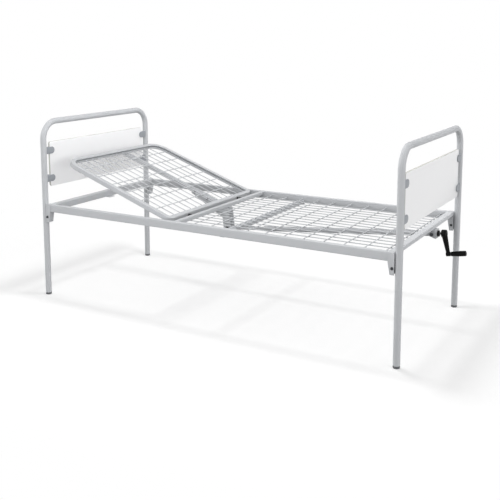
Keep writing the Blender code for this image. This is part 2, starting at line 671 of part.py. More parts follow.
def knuckle_outline(reach, top, bottom):
    """Outline and bore of a hinge plate whose arm runs towards +X, hinge axis at the origin."""
    start, end = asin(top / KNUCKLE_R), 2 * pi + asin(bottom / KNUCKLE_R)
    outline = [*arc((0, 0), KNUCKLE_R, start, end, BORE_STEPS), (reach, bottom), (reach, top)]
    return [outline, circle((0, 0), HINGE_PIN_R + RUNNING_GAP)]


def make_hinges():
    """Make the two hinges: an ear on the cross member, a strap on the backrest and a headed pin each."""
    ear = knuckle_outline(HINGE_REACH - GAP, KNUCKLE_R, -EAR_BOTTOM)
    strap = [[(-x, z) for x, z in outline] for outline in
             knuckle_outline(BAR_FACE - GAP, STRAP_HALF, -STRAP_HALF)]
    half = HINGE_PLATE + GAP / 2 + RUNNING_GAP
    top = half + HINGE_PIN_HEAD
    pin = [(0, top), (HINGE_PIN_HEAD_R, top), (HINGE_PIN_HEAD_R, half), (HINGE_PIN_R, half),
           (HINGE_PIN_R, -half), (HINGE_PIN_HEAD_R, -half), (HINGE_PIN_HEAD_R, -top), (0, -top)]
    offset = (HINGE_PLATE + GAP) / 2
    for side, sign in (("near", -1), ("far", 1)):
        y = sign * HINGE_PLACE
        piece(side + "_hinge_ear", plate_mesh("hinge_ear", ear, HINGE_PLATE), PAINT, BED,
              (HINGE_X, y + sign * offset, HINGE_Z), UPRIGHT_ALONG)
        piece(side + "_hinge_strap", plate_mesh("hinge_strap", strap, HINGE_PLATE), PAINT,
              BACKREST, (0, y - sign * offset, 0), UPRIGHT_ALONG)
        turned(side + "_hinge_pin", pin, BOLT_STEPS, ZINC, BED, (HINGE_X, y, HINGE_Z), POINT_TO_NEAR)


def make_backrest():
    """Make the tilting frame of square tube and its mesh."""
    path = rounded_rectangle(BACK_LENGTH / 2, BACK_HALF_WIDTH, BACK_FOOT_BEND_R, BACK_HEAD_BEND_R, BEND_STEPS)
    mesh = bar_ring_mesh("backrest_frame", path, BACK_BAR, BACK_BAR_EDGE)
    piece("backrest_frame", mesh, PAINT, BACKREST, ((BACK_HEAD - BACK_BAR_REACH) / 2, 0, 0))
    end = -BACK_BAR_REACH - BACK_BAR / 2 - GAP
    start = BACK_HEAD + BACK_BAR / 2 + GAP
    count = floor((BACK_LENGTH - BACK_HEAD_BEND_R - BACK_FIRST_WIRE) / CROSS_WIRE_PITCH) + 1
    first = -BACK_BAR_REACH - BACK_FIRST_WIRE
    across = [first - i * CROSS_WIRE_PITCH for i in range(count)]
    half = BACK_HALF_WIDTH - BACK_BAR / 2 - GAP
    mesh = wire_lattice("backrest_mesh", wire_rows(half), across, (start, end), (-half, half))
    thicken_wires(piece("backrest_mesh", mesh, WIRE_PAINT, BACKREST, (0, 0, -BACK_MESH_DROP)))


def make_spine():
    """Run the lifting spine under the frame, from the top bar to the bottom bar."""
    mesh = box_mesh("backrest_spine", (BACK_LENGTH + BACK_BAR, SPINE_WIDTH, SPINE_DEPTH))
    spine = piece("backrest_spine", mesh, PAINT, BACKREST,
                  ((BACK_HEAD - BACK_BAR_REACH) / 2, MECH_Y, SPINE_MIDDLE))
    bevel(spine, BAR_EDGE)
    for label, x in LEVER_BOLTS:
        hole = rod_mesh("spine_hole", BOLT_R + GAP, 2 * SPINE_WIDTH, BORE_STEPS)
        combine(spine, cutter(label + "_spine_hole", hole, BACKREST, (x, MECH_Y, SPINE_MIDDLE),
                              (pi / 2, 0, 0)))


def lever_outline():
    """Outline of a lever plate and its holes, hinge at the origin and backrest flat."""
    down = (sin(SLOT_ANGLE), -cos(SLOT_ANGLE))
    side = (cos(SLOT_ANGLE), sin(SLOT_ANGLE))

    def along(distance, offset):
        return (down[0] * distance + side[0] * offset, down[1] * distance + side[1] * offset)

    turn = SLOT_ANGLE
    tip = along(SLOT_END, 0.0)
    lobe = arc(tip, LEVER_HALF_WIDTH, turn, turn - pi, 2 * BEND_STEPS)
    front = (LEVER_HALF_WIDTH * side[1] - SPINE_TOP) / -down[1]
    tail = LEVER_BOLTS[1][1] - LEVER_BOLT_EDGE
    outline = [(tail, SPINE_TOP), along(front, LEVER_HALF_WIDTH), *lobe,
               along(LEVER_GUSSET, -LEVER_HALF_WIDTH), (tail, SPINE_BOTTOM - LEVER_SKIRT)]
    slot = [*arc(along(LEVER_ARM, 0), SLOT_HALF_WIDTH, turn + pi, turn, BEND_STEPS),
            *arc(tip, SLOT_HALF_WIDTH, turn, turn - pi, BEND_STEPS)]
    bolts = [circle((x, SPINE_MIDDLE), BOLT_R + GAP) for _, x in LEVER_BOLTS]
    return [outline, slot, *bolts]


def make_lever():
    """Bolt the two slotted lever plates to the sides of the spine."""
    for side, sign in (("near", -1), ("far", 1)):
        name = side + "_lever_plate"
        piece(name, plate_mesh(name, lever_outline(), LEVER_PLATE), PAINT, BACKREST,
              (0, MECH_Y + sign * LEVER_OFFSET, 0), UPRIGHT_ALONG)
    half = LEVER_OFFSET + LEVER_PLATE / 2
    profile = bolt_profile(BOLT_HEAD_R, BOLT_HEAD, BOLT_R, 2 * half + BOLT_OVERHANG)
    for label, x in LEVER_BOLTS:
        turned(label + "_lever_bolt", profile, BOLT_STEPS, ZINC, BACKREST,
               (x, MECH_Y - half - GAP, SPINE_MIDDLE), POINT_TO_NEAR)


def make_push_tube():
    """Make the tube that pushes the lever, with its nut and the pin in the lever's slots."""
    start = PIN_PLACE - PUSH_NOSE
    tube = pipe("push_tube", PUSH_R, PUSH_WALL, PUSH_TAIL - start, PAINT, SPINDLE,
                ((start + PUSH_TAIL) / 2, 0, 0), POINT_TO_FOOT)
    hole = rod_mesh("push_tube_hole", DRIVE_PIN_R + GAP, 4 * PUSH_R, BORE_STEPS)
    combine(tube, cutter("push_tube_hole", hole, SPINDLE, (PIN_PLACE, 0, 0), (pi / 2, 0, 0)))
    bore = SCREW_R + RUNNING_GAP
    spigot = (PUSH_R - PUSH_WALL) * cos(pi / ROUND_STEPS) - GAP
    flange = GUIDE_BORE - RUNNING_GAP
    nut = [(bore, GAP + NUT_FLANGE), (flange, GAP + NUT_FLANGE), (flange, GAP), (spigot, GAP),
           (spigot, -NUT_LENGTH), (bore, -NUT_LENGTH)]
    turned("spindle_nut", nut, ROUND_STEPS, BRASS, SPINDLE, (PUSH_TAIL, 0, 0), POINT_TO_FOOT)
    face = LEVER_OFFSET + LEVER_PLATE / 2 + RUNNING_GAP
    top = face + DRIVE_PIN_HEAD
    pin = [(0, top), (DRIVE_PIN_HEAD_R, top), (DRIVE_PIN_HEAD_R, face), (DRIVE_PIN_R, face),
           (DRIVE_PIN_R, -face), (DRIVE_PIN_HEAD_R, -face), (DRIVE_PIN_HEAD_R, -top), (0, -top)]
    turned("drive_pin", pin, ROUND_STEPS, ZINC, SPINDLE, (PIN_PLACE, 0, 0), POINT_TO_NEAR)


def make_guide():
    """Make the tube that the push tube slides in, and the bush in its mouth."""
    guide = pipe("guide_tube", GUIDE_R, GUIDE_WALL, GUIDE_LENGTH, PAINT, SPINDLE,
                 ((GUIDE_START + GUIDE_END) / 2, 0, 0), POINT_TO_FOOT)
    hole = rod_mesh("guide_hole", TRUNNION_R + GAP, 4 * GUIDE_R, BORE_STEPS)
    combine(guide, cutter("guide_hole", hole, SPINDLE, (TRUNNION_S, 0, 0), (pi / 2, 0, 0)))
    inner, outer = PUSH_R + RUNNING_GAP, GUIDE_BORE - GAP
    sleeve = [(inner, SLEEVE_LENGTH), (outer, SLEEVE_LENGTH), (outer, 0), (inner, 0)]
    turned("guide_bush", sleeve, ROUND_STEPS, BLACK, SPINDLE, (GUIDE_START, 0, 0), POINT_TO_FOOT)


def make_crank_bracket():
    """Make the bracket under the foot cross member, with its trunnion bolts and the spindle's bush."""
    inner = GUIDE_R + TRUNNION_SPACE
    outer = inner + CRANK_PLATE
    top = FOOT_CROSS_BOTTOM - GAP
    back = BRACKET_FRONT - CRANK_BRACKET_LENGTH
    cheek = [(back, top), (back, top - CRANK_BRACKET_HEEL), (BRACKET_FRONT, top - CRANK_BRACKET_DROP),
             (BRACKET_FRONT, top)]
    bracket = piece("crank_bracket", plate_mesh("crank_bracket", [cheek], 2 * outer), PAINT, BED,
                    (0, MECH_Y, 0), UPRIGHT_ALONG)
    hollow = box_mesh("crank_bracket_hollow", (2 * CRANK_BRACKET_LENGTH, 2 * inner, 2 * CRANK_BRACKET_DROP))
    combine(bracket, cutter("crank_bracket_hollow", hollow, BED,
                            (back - CRANK_PLATE, MECH_Y, top - CRANK_PLATE - CRANK_BRACKET_DROP)))
    lap_end = SEAT_END + MESH_LAP + GAP
    relief = box_mesh("crank_bracket_relief", (2 * (lap_end - back), 4 * outer, 2 * (WIRE + GAP)))
    combine(bracket, cutter("crank_bracket_relief", relief, BED, (back, MECH_Y, MESH_TOP)))
    drill = rod_mesh("bush_hole", BUSH_NECK_R + GAP, 2 * CRANK_BRACKET_FRONT, BORE_STEPS)
    combine(bracket, cutter("bush_hole", drill, SPINDLE, (BUSH_BACK, 0, 0), POINT_TO_FOOT))
    hole = rod_mesh("trunnion_hole", TRUNNION_R + GAP, 4 * outer, BORE_STEPS)
    combine(bracket, cutter("trunnion_hole", hole, SPINDLE, (TRUNNION_S, 0, 0), (pi / 2, 0, 0)))
    profile = bolt_profile(TRUNNION_HEAD_R, TRUNNION_HEAD, TRUNNION_R, outer - GUIDE_R + GUIDE_WALL)
    for side, sign, turn in (("near", -1, POINT_TO_NEAR), ("far", 1, POINT_TO_FAR)):
        turned(side + "_trunnion_bolt", profile, BOLT_STEPS, ZINC, SPINDLE,
               (TRUNNION_S, sign * (outer + GAP), 0), turn)
    radius = SCREW_R + RUNNING_GAP
    neck = BUSH_NECK_R * cos(pi / BORE_STEPS)
    bush = [(radius, BUSH_FLANGE), (BUSH_R, BUSH_FLANGE), (BUSH_R, 0), (neck, 0), (neck, -BUSH_NECK),
            (radius, -BUSH_NECK)]
    turned("spindle_bush", bush, BORE_STEPS, BLACK, SPINDLE, (BUSH_BACK, 0, 0), POINT_TO_FOOT)


def arm_mesh():
    """Taper the crank's arm from its hub down to its boss, along -Z."""
    mesh = bpy.data.meshes.new("crank_arm")
    bm = bmesh.new()
    bmesh.ops.create_cone(bm, cap_ends=True, segments=ROUND_STEPS, radius1=CRANK_ARM_END_R,
                          radius2=CRANK_ARM_TOP_R, depth=CRANK_THROW,
                          matrix=Matrix.Translation((0, 0, -CRANK_THROW / 2)))
    bm.to_mesh(mesh)
    bm.free()
    return mesh


def make_crank():
    """Make the screw, the crank on its end and the grip that turns on the crank's pin."""
    hub_back = -CRANK_HUB_LENGTH / 2
    screw_front = hub_back + SCREW_IN_HUB
    piece("drive_screw", rod_mesh("drive_screw", SCREW_R, screw_front - SCREW_END), ZINC, SPINDLE,
          ((screw_front + SCREW_END) / 2, 0, 0), POINT_TO_FOOT, smooth=True)
    arm = piece("crank_arm", arm_mesh(), BLACK, CRANK)
    edge = CRANK_HUB_EDGE
    half = CRANK_HUB_LENGTH / 2
    hub_profile = [(0, half), (CRANK_HUB_R - edge, half), (CRANK_HUB_R, half - edge),
                   (CRANK_HUB_R, edge - half), (CRANK_HUB_R - edge, -half), (0, -half)]
    hub = turned("crank_hub", hub_profile, BORE_STEPS, BLACK, SPINDLE, (0, 0, 0), POINT_TO_FOOT)
    boss = rod_mesh("crank_boss", CRANK_BOSS_R, CRANK_BOSS_LENGTH, BORE_STEPS)
    boss_tool = cutter("crank_boss", boss, GRIP, (0, 0, 0), POINT_TO_FOOT)
    make_tool(hub)
    combine(arm, hub, "UNION")
    combine(arm, boss_tool, "UNION")
    socket = rod_mesh("crank_socket", SCREW_R + GAP, 2 * (SCREW_IN_HUB + GAP), BORE_STEPS)
    combine(arm, cutter("crank_socket", socket, SPINDLE, (hub_back, 0, 0), POINT_TO_FOOT))
    eye = rod_mesh("crank_eye", GRIP_PIN_R + GAP, 4 * CRANK_BOSS_LENGTH, BORE_STEPS)
    combine(arm, cutter("crank_eye", eye, GRIP, (0, 0, 0), POINT_TO_FOOT))
    collar_front = PIN_COLLAR_BACK + GRIP_PIN_COLLAR
    pin_end = GRIP_END - GRIP_PIN_SHORT
    pin = [(0, pin_end), (GRIP_PIN_R, pin_end), (GRIP_PIN_R, collar_front), (GRIP_PIN_COLLAR_R, collar_front),
           (GRIP_PIN_COLLAR_R, PIN_COLLAR_BACK), (GRIP_PIN_R, PIN_COLLAR_BACK),
           (GRIP_PIN_R, -CRANK_BOSS_LENGTH / 2), (0, -CRANK_BOSS_LENGTH / 2)]
    turned("grip_pin", pin, ROUND_STEPS, ZINC, GRIP, (0, 0, 0), POINT_TO_FOOT)
    bore = GRIP_PIN_R + RUNNING_GAP
    bore_end = pin_end + GAP
    grip = [(0, GRIP_END), (GRIP_R - GRIP_EDGE, GRIP_END), (GRIP_R, GRIP_END - GRIP_EDGE),
            (GRIP_R, (GRIP_START + GRIP_END) / 2), (GRIP_NECK_R, GRIP_START), (bore, GRIP_START),
            (bore, bore_end), (0, bore_end)]
    turned("crank_grip", grip, ROUND_STEPS, BLACK, GRIP, (0, 0, 0), POINT_TO_FOOT)


clear_scene()
PARTS = new_collection("manual_hospital_bed")
CUTTERS = new_collection("cutters")

PAINT = finish("grey_painted_steel", (0.56, 0.57, 0.59), 0.40, 0.0)
WIRE_PAINT = finish("grey_painted_wire", (0.48, 0.49, 0.51), 0.45, 0.0)
LAMINATE = finish("white_laminate", (0.84, 0.84, 0.83), 0.35)
CLIP_PLASTIC = finish("grey_moulded_plastic", (0.34, 0.35, 0.36), 0.50)
BLACK = finish("black_moulded_plastic", (0.02, 0.02, 0.02), 0.45)
RUBBER = finish("dark_grey_cap_plastic", (0.10, 0.10, 0.11), 0.65)
ZINC = finish("zinc_plated_steel", (0.55, 0.55, 0.54), 0.35, 1.0)
BRASS = finish("brass", (0.62, 0.47, 0.21), 0.35, 1.0)

SIDES = (("near", -HALF_WIDTH), ("far", HALF_WIDTH))
BED = axis_empty("bed_middle", None, (-BED_MIDDLE, 0, 0))
BACKREST = axis_empty("backrest_axis", BED, (HINGE_X, 0, HINGE_Z), REST_TILT)
SPINDLE = axis_empty("spindle_axis", BED, (HUB_X, MECH_Y, HUB_Z), -SPINDLE_RISE)
CRANK = axis_empty("crank_arm_axis", SPINDLE, (0, 0, 0), -CRANK_LEAN)
GRIP = axis_empty("grip_axis", CRANK, (0, 0, -CRANK_THROW), CRANK_LEAN - GRIP_LIFT)

CLIP = clip_mesh()
for END, SIGN in (("head", -1), ("foot", 1)):
    make_hoop(END, SIGN)
    make_panel(END, SIGN, CLIP)
    for SIDE, SIDE_Y in SIDES:
        make_corner(END, SIGN, SIDE, SIDE_Y)
make_base_frame()
make_seat_mesh()
make_hinges()
make_backrest()
make_spine()
make_lever()
make_push_tube()
make_guide()
make_crank_bracket()
make_crank()
bpy.context.view_layer.update()
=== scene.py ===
import json
from math import atan2, cos, hypot, pi, radians, sin

import bmesh
import bpy
from bpy.props import FloatProperty, FloatVectorProperty, IntProperty, PointerProperty
from bpy.types import NodeSocket, Operator, Panel, PropertyGroup
from mathutils import Matrix, Vector
from mathutils.geometry import convex_hull_2d


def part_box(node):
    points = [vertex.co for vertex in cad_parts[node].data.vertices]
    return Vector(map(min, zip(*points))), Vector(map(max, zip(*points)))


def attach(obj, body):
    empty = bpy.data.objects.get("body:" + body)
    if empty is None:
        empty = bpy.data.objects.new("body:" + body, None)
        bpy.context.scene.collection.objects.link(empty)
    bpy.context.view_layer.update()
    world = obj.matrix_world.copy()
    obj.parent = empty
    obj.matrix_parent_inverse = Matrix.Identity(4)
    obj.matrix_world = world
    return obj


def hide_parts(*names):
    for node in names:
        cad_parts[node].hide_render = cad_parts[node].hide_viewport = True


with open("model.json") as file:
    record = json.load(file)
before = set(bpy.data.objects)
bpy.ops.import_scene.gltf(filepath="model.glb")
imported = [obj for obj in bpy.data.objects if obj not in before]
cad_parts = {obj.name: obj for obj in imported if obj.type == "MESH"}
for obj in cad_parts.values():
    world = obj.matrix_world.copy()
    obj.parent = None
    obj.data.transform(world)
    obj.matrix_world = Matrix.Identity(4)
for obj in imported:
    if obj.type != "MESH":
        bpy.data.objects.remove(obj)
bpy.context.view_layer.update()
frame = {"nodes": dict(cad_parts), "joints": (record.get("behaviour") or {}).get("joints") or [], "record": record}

bl_info = {
    "name": "Manual hospital bed",
    "version": (1, 0, 0),
    "blender": (4, 5, 0),
    "location": "View3D > Sidebar > Bed",
    "description": "Dresses the jointed frame of a manual hospital bed with its finishes and fine shapes",
    "category": "Object",
}

RECORD = frame["record"]
JOINTS = {joint["name"]: joint for joint in frame["joints"]}
BODY_OF = {node: body for body, nodes in RECORD["behaviour"]["bodies"].items() for node in nodes}

# The backrest's own axes: the hinge line is its origin, and -X runs up the tilted frame
HINGE = Vector(JOINTS["backrest_hinge"]["pos_m"])
TILT = radians(-JOINTS["backrest_hinge"]["range_deg"][0])
BACKREST = Matrix.Translation(HINGE) @ Matrix.Rotation(TILT, 4, "Y")

# Nodes that are dressed alike
ENDS = ("head", "foot")
SIDES = ("near", "far")
LEVELS = ("lower", "upper")
CORNERS = [f"{end}_{side}" for end in ENDS for side in SIDES]
RAILS = ["near_side_rail", "far_side_rail"]
CROSS_BARS = ["head_cross_member", "foot_cross_member", "hinge_cross_member", "mesh_support_bar"]

# How closely the solids are read, in metres and radians
SAME_POINT = 0.00002        # points no further apart are merged
SAME_ARM_POINT = 0.0012     # the crank arm's short facets would hold its rounding back
SAME_LEVEL = 0.0001         # points no further apart lie at one level
NEXT_LEVEL = 0.0005         # points further apart lie at two levels
DIGITS = 5                  # decimals that lengths are rounded to before they are compared
FLAT_ANGLE = radians(0.6)   # faces that differ by no more are one flat face
SHARP_ANGLE = radians(32)   # edges that bend by more are sharp

# Counts of facets
EDGE_STEPS = 3
CORNER_STEPS = 4
BEND_STEPS = 20
WIRE_SIDES = 12
DROP_SIDES, DROP_RINGS = 8, 5
HEAD_SIDES, SHANK_SIDES, HEXAGON = 32, 24, 6

# Shares: of a wire's diameter, of a bolt head's radius or height, and of a bolt's length
WIRE_RISE = 0.92
HEAD_TOP, KEY_RADIUS, KEY_LEVEL = 0.80, 0.52, 0.85
NUT_RADIUS, NUT_SHARE = 0.95, 0.25
RIM_SHARE, CENTRE_SHARE = 0.9, 0.1

# Ripples of a weld bead: how much their size varies
LEAST_RIPPLE, GREATEST_RIPPLE, RIPPLE_SEED = (0.85,) * 3, (1.15,) * 3, 7

# Studio, in metres apart from the camera's own sizes
SENSOR_MM, PICTURE_PIXELS = 36.0, 500
FLOOR_REACH, FLOOR_CELLS = 30.0, 8
FADE_SQUEEZE, FADE_NEAR, FADE_FAR = (0.55, 1.0, 1.0), 0.9, 1.8
SOFTBOX_WIDTH, SOFTBOX_HEIGHT = 1.4, 1.8
SOFTBOX_PLACES = {          # where each stands and the point that it faces
    "left_softbox": ((-2.6, -2.6, 1.8), (-0.6, 0.0, 0.6)),
    "right_softbox": ((3.4, -0.3, 0.8), (0.9, 0.0, 0.7)),
    "back_softbox": ((-0.6, 3.4, 1.2), (0.0, 0.0, 0.6)),
    "front_softbox": ((0.1, -3.3, 1.5), (0.0, 0.0, 0.6)),
}
WHITE = (1.0, 1.0, 1.0, 1.0)


# Settings

def linear(code):
    """Linear RGB of an sRGB hex code."""
    channels = [int(code[i:i + 2], 16) / 255 for i in (1, 3, 5)]
    return tuple(c / 12.92 if c <= 0.04045 else ((c + 0.055) / 1.055) ** 2.4 for c in channels)


def colour_property(name, code, words):
    """A colour that a user may change, given as an sRGB hex code."""
    return FloatVectorProperty(name=name, description=words, subtype="COLOR", size=3, min=0.0, max=1.0,
                               default=linear(code))


def length_property(name, millimetres, words):
    """A length that a user may change, given in millimetres and kept in metres."""
    return FloatProperty(name=name, description=words, default=millimetres / 1000, min=0.0, precision=5,
                         subtype="DISTANCE", unit="LENGTH")


def number_property(name, value, words, **kind):
    """A number that a user may change."""
    return FloatProperty(name=name, description=words, default=value, **kind)


def power_property(name, watts, words):
    """A lamp's power that a user may change."""
    return number_property(name, watts, words, unit="POWER")


class BedFinishes(PropertyGroup):
    """Colours of the bed's finishes."""
    paint: colour_property("Powder coat", "#c6c8cb", "Light grey paint on the tubes, bars and plates")
    wire: colour_property("Wire coat", "#d0d2d5", "Light grey paint on the welded wires")
    board: colour_property("Laminate", "#fafafb", "White faces of the two end panels")
    edging: colour_property("Edge band", "#cfcfc8", "Thin band round the panels' edges")
    clip: colour_property("Clip plastic", "#9da1a7", "Moulded clips that hold the panels")
    ferrule: colour_property("Ferrule plastic", "#66686b", "Caps on the leg ends")
    handle: colour_property("Handle nylon", "#0b0b0b", "Crank, grip and bushes")
    # The hinge coat's near black is painted shade: it darkens the hinge plates so the hinge line shows as dark as
    # the shaded gap between the backrest and the cross bar.
    hinge: colour_property("Hinge coat", "#1b1b1c", "Black paint on the hinge plates")
    zinc: colour_property("Zinc plate", "#515255", "Bolts, pins and screw")
    brass: colour_property("Brass", "#b99a5e", "Nut in the jack")
    floor: colour_property("Floor", "#cfcfcf", "Studio floor")


class BedSizes(PropertyGroup):
    """Sizes of the fine shapes."""
    wire: length_property("Wire", 5.0, "Diameter of the mesh wires")
    nugget: length_property("Nugget", 2.9, "Radius of the weld where two wires cross")
    bead: length_property("Bead", 2.7, "Radius of the weld bead between bars")
    bead_step: length_property("Bead step", 3.2, "Distance from one ripple of a bead to the next")
    nut: length_property("Nut", 2.4, "Greatest thickness of the nut on a bolt")
    hoop_bend: length_property("Hoop bend", 95.0, "Radius of the end hoops' bends, at the tube's middle")
    bar_edge: length_property("Bar edge", 0.7, "Rounding of the edges of bars and caps")
    plate_edge: length_property("Plate edge", 0.3, "Rounding of the edges of cut plates")
    frame_edge: length_property("Frame edge", 3.0, "Rounding along the bars of the backrest's frame")
    slot_level: length_property("Slot level", 4.0, "From the top of the backrest's frame down to its slot")
    slot_height: length_property("Slot height", 8.0, "Of the slot along the inside of the backrest's frame")
    slot_depth: length_property("Slot depth", 14.0, "Of the slot along the inside of the backrest's frame")
    board_edge: length_property("Board edge", 1.6, "Rounding of the panels' edges")
    clip_edge: length_property("Clip edge", 1.8, "Rounding of the moulded clips")
    jack_edge: length_property("Jack edge", 0.35, "Rounding of the jack's tubes and turned pieces")
    handle_edge: length_property("Handle edge", 1.6, "Rounding of the crank's mouldings")
    pin_edge: length_property("Pin edge", 0.4, "Rounding of the grip's pin")
    tube_sides: IntProperty(name="Tube sides", description="Facets round a hoop's tube", default=40, min=8)


class StudioSettings(PropertyGroup):
    """Camera and light."""
    lens_pixels: number_property("Focal length", 793.9, "In pixels of a 500 pixel wide picture")
    azimuth: number_property("Azimuth", radians(29.75), "Of the camera round the bed", subtype="ANGLE")
    elevation: number_property("Elevation", radians(8.15), "Of the camera's line of sight", subtype="ANGLE")
    place: FloatVectorProperty(name="Camera", description="Where the camera stands", subtype="XYZ",
                               default=(2.0066, -3.5812, 1.4121))
    shift: number_property("Shift", -0.2, "Vertical shift of the picture, in picture widths")
    globe: power_property("Globe", 12.0, "Power of the globe over the bed")
    globe_size: length_property("Globe size", 300, "Radius of the globe over the bed")
    globe_height: length_property("Globe height", 3500, "Of the globe above the floor")
    left_softbox: power_property("Left softbox", 18.0, "Power of the softbox at the head end")
    right_softbox: power_property("Right softbox", 8.0, "Power of the low softbox at the foot end")
    back_softbox: power_property("Back softbox", 10.0, "Power of the softbox on the far side")
    front_softbox: power_property("Front softbox", 36.0, "Power of the softbox on the camera's side")
    sky: number_property("Room", 0.31, "Strength of the room's light from the front, back and top")
    sky_side: number_property("Room sides", 2.90, "Strength of the room's light from both ends")
    sky_focus: number_property("Room focus", 4.0, "How closely the room's side light keeps to the ends")
    floor_lift: number_property("Floor lift", 0.46, "Whitening of the floor as it is seen")
    floor_bounce: number_property("Floor bounce", 0.24, "Share of light that the floor throws back")


# Shader trees

def add(tree, kind, inputs=None, **settings):
    """Add a node to a tree. An input takes a value, or the socket that feeds it."""
    node = tree.nodes.new(kind)
    for key, value in settings.items():
        setattr(node, key, value)
    for key, value in (inputs or {}).items():
        if isinstance(value, NodeSocket):
            tree.links.new(value, node.inputs[key])
        else:
            node.inputs[key].default_value = value
    return node


def result(tree, kind, inputs=None, **settings):
    """Add a node to a tree and return its first output."""
    return add(tree, kind, inputs, **settings).outputs[0]


def calculate(tree, operation, *numbers):
    """One step of arithmetic."""
    return result(tree, "ShaderNodeMath", dict(enumerate(numbers)), operation=operation)


def mix_colours(tree, factor, first, second):
    """A colour between two."""
    node = add(tree, "ShaderNodeMix", {0: factor, 6: (*first, 1.0), 7: (*second, 1.0)}, data_type="RGBA")
    return node.outputs[2]


def per_metre(millimetres):
    """Texture scale at which one cell of a pattern is this many millimetres wide."""
    return 1000.0 / millimetres


def blank_finish(name, roughness, metallic=0.0):
    """A material with a bare shader. Returns it, its tree, its shader and the place on the piece."""
    made = bpy.data.materials.new(name)
    made.use_nodes = True
    tree = made.node_tree
    tree.nodes.clear()
    shader = add(tree, "ShaderNodeBsdfPrincipled", {"Roughness": roughness, "Metallic": metallic, "IOR": 1.5})
    add(tree, "ShaderNodeOutputMaterial", {"Surface": shader.outputs["BSDF"]})
    return made, tree, shader, add(tree, "ShaderNodeTexCoord").outputs["Object"]


def drift(tree, shader, place, colour, shade, patch_mm):
    """Let a colour drift slowly between itself and a shade of itself. Returns the pattern that it follows."""
    cloud = add(tree, "ShaderNodeTexNoise", {"Vector": place, "Scale": per_metre(patch_mm), "Detail": 3.0})
    darker = tuple(c * shade for c in colour)
    tone = mix_colours(tree, cloud.outputs["Fac"], colour, darker)
    tree.links.new(tone, shader.inputs["Base Color"])
    return cloud.outputs["Fac"]


def raise_pattern(tree, shader, pattern, relief_mm, strength):
    """Raise a pattern on a surface."""
    bump = result(tree, "ShaderNodeBump", {"Height": pattern, "Distance": relief_mm / 1000,
                                           "Strength": strength})
    tree.links.new(bump, shader.inputs["Normal"])


def grain(tree, shader, place, cell_mm, relief_mm, strength):
    """Raise a fine even grain on a surface."""
    cells = add(tree, "ShaderNodeTexNoise", {"Vector": place, "Scale": per_metre(cell_mm), "Detail": 1.5})
    raise_pattern(tree, shader, cells.outputs["Fac"], relief_mm, strength)


def spread(tree, shader, pattern, low, high):
    """Let a pattern move the roughness between two values."""
    ranged = result(tree, "ShaderNodeMapRange", {"Value": pattern, "To Min": low, "To Max": high})
    tree.links.new(ranged, shader.inputs["Roughness"])


# Finishes

def powder_coat(name, colour):
    """Baked polyester powder on steel: dull satin, with a shallow orange peel 3 mm from crest to crest."""
    made, tree, shader, place = blank_finish(name, roughness=0.48)
    shader.inputs["Specular IOR Level"].default_value = 0.35
    cloud = drift(tree, shader, place, colour, shade=0.95, patch_mm=140.0)
    grain(tree, shader, place, cell_mm=3.0, relief_mm=0.08, strength=0.7)
    spread(tree, shader, cloud, low=0.42, high=0.56)
    return made


def laminate_board(name, colour):
    """Melamine laminate pressed on a matt plate: a fine pearl, drawn at 1.6 mm so that it shows at all."""
    made, tree, shader, place = blank_finish(name, roughness=0.34)
    cloud = drift(tree, shader, place, colour, shade=0.975, patch_mm=220.0)
    grain(tree, shader, place, cell_mm=1.6, relief_mm=0.03, strength=0.4)
    spread(tree, shader, cloud, low=0.30, high=0.40)
    return made


def edge_band(name, colour):
    """ABS edge band: extruded, so fine lines run along it, and a little duller than the faces."""
    made, tree, shader, place = blank_finish(name, roughness=0.48)
    drift(tree, shader, place, colour, shade=0.93, patch_mm=60.0)
    stretched = result(tree, "ShaderNodeMapping", {"Vector": place, "Scale": (1.0, 0.04, 1.0)})
    lines = add(tree, "ShaderNodeTexNoise", {"Vector": stretched, "Scale": per_metre(1.2)})
    raise_pattern(tree, shader, lines.outputs["Fac"], relief_mm=0.04, strength=0.6)
    return made


def moulded_plastic(name, colour, roughness, cell_mm, gloss=0.5):
    """Injection-moulded plastic from a spark-eroded tool: an even matt grain all over."""
    made, tree, shader, place = blank_finish(name, roughness)
    shader.inputs["Specular IOR Level"].default_value = gloss
    cloud = drift(tree, shader, place, colour, shade=0.88, patch_mm=25.0)
    grain(tree, shader, place, cell_mm, relief_mm=0.06, strength=0.6)
    spread(tree, shader, cloud, low=roughness - 0.06, high=roughness + 0.06)
    return made


def zinc_plate(name, colour):
    """Bright zinc on steel: a metal whose crystals leave it cloudy, with a dull bloom in patches."""
    made, tree, shader, place = blank_finish(name, roughness=0.34, metallic=1.0)
    cloud = drift(tree, shader, place, colour, shade=0.72, patch_mm=6.0)
    grain(tree, shader, place, cell_mm=0.8, relief_mm=0.02, strength=0.5)
    spread(tree, shader, cloud, low=0.26, high=0.46)
    return made


def turned_brass(name, colour):
    """Brass off the lathe: shallow rings from the tool, about 6 mm apart, three to a cell of the texture."""
    made, tree, shader, place = blank_finish(name, roughness=0.30, metallic=1.0)
    drift(tree, shader, place, colour, shade=0.85, patch_mm=12.0)
    rings = add(tree, "ShaderNodeTexWave", {"Vector": place, "Scale": per_metre(20.0), "Distortion": 0.4})
    raise_pattern(tree, shader, rings.outputs["Fac"], relief_mm=0.03, strength=0.5)
    return made


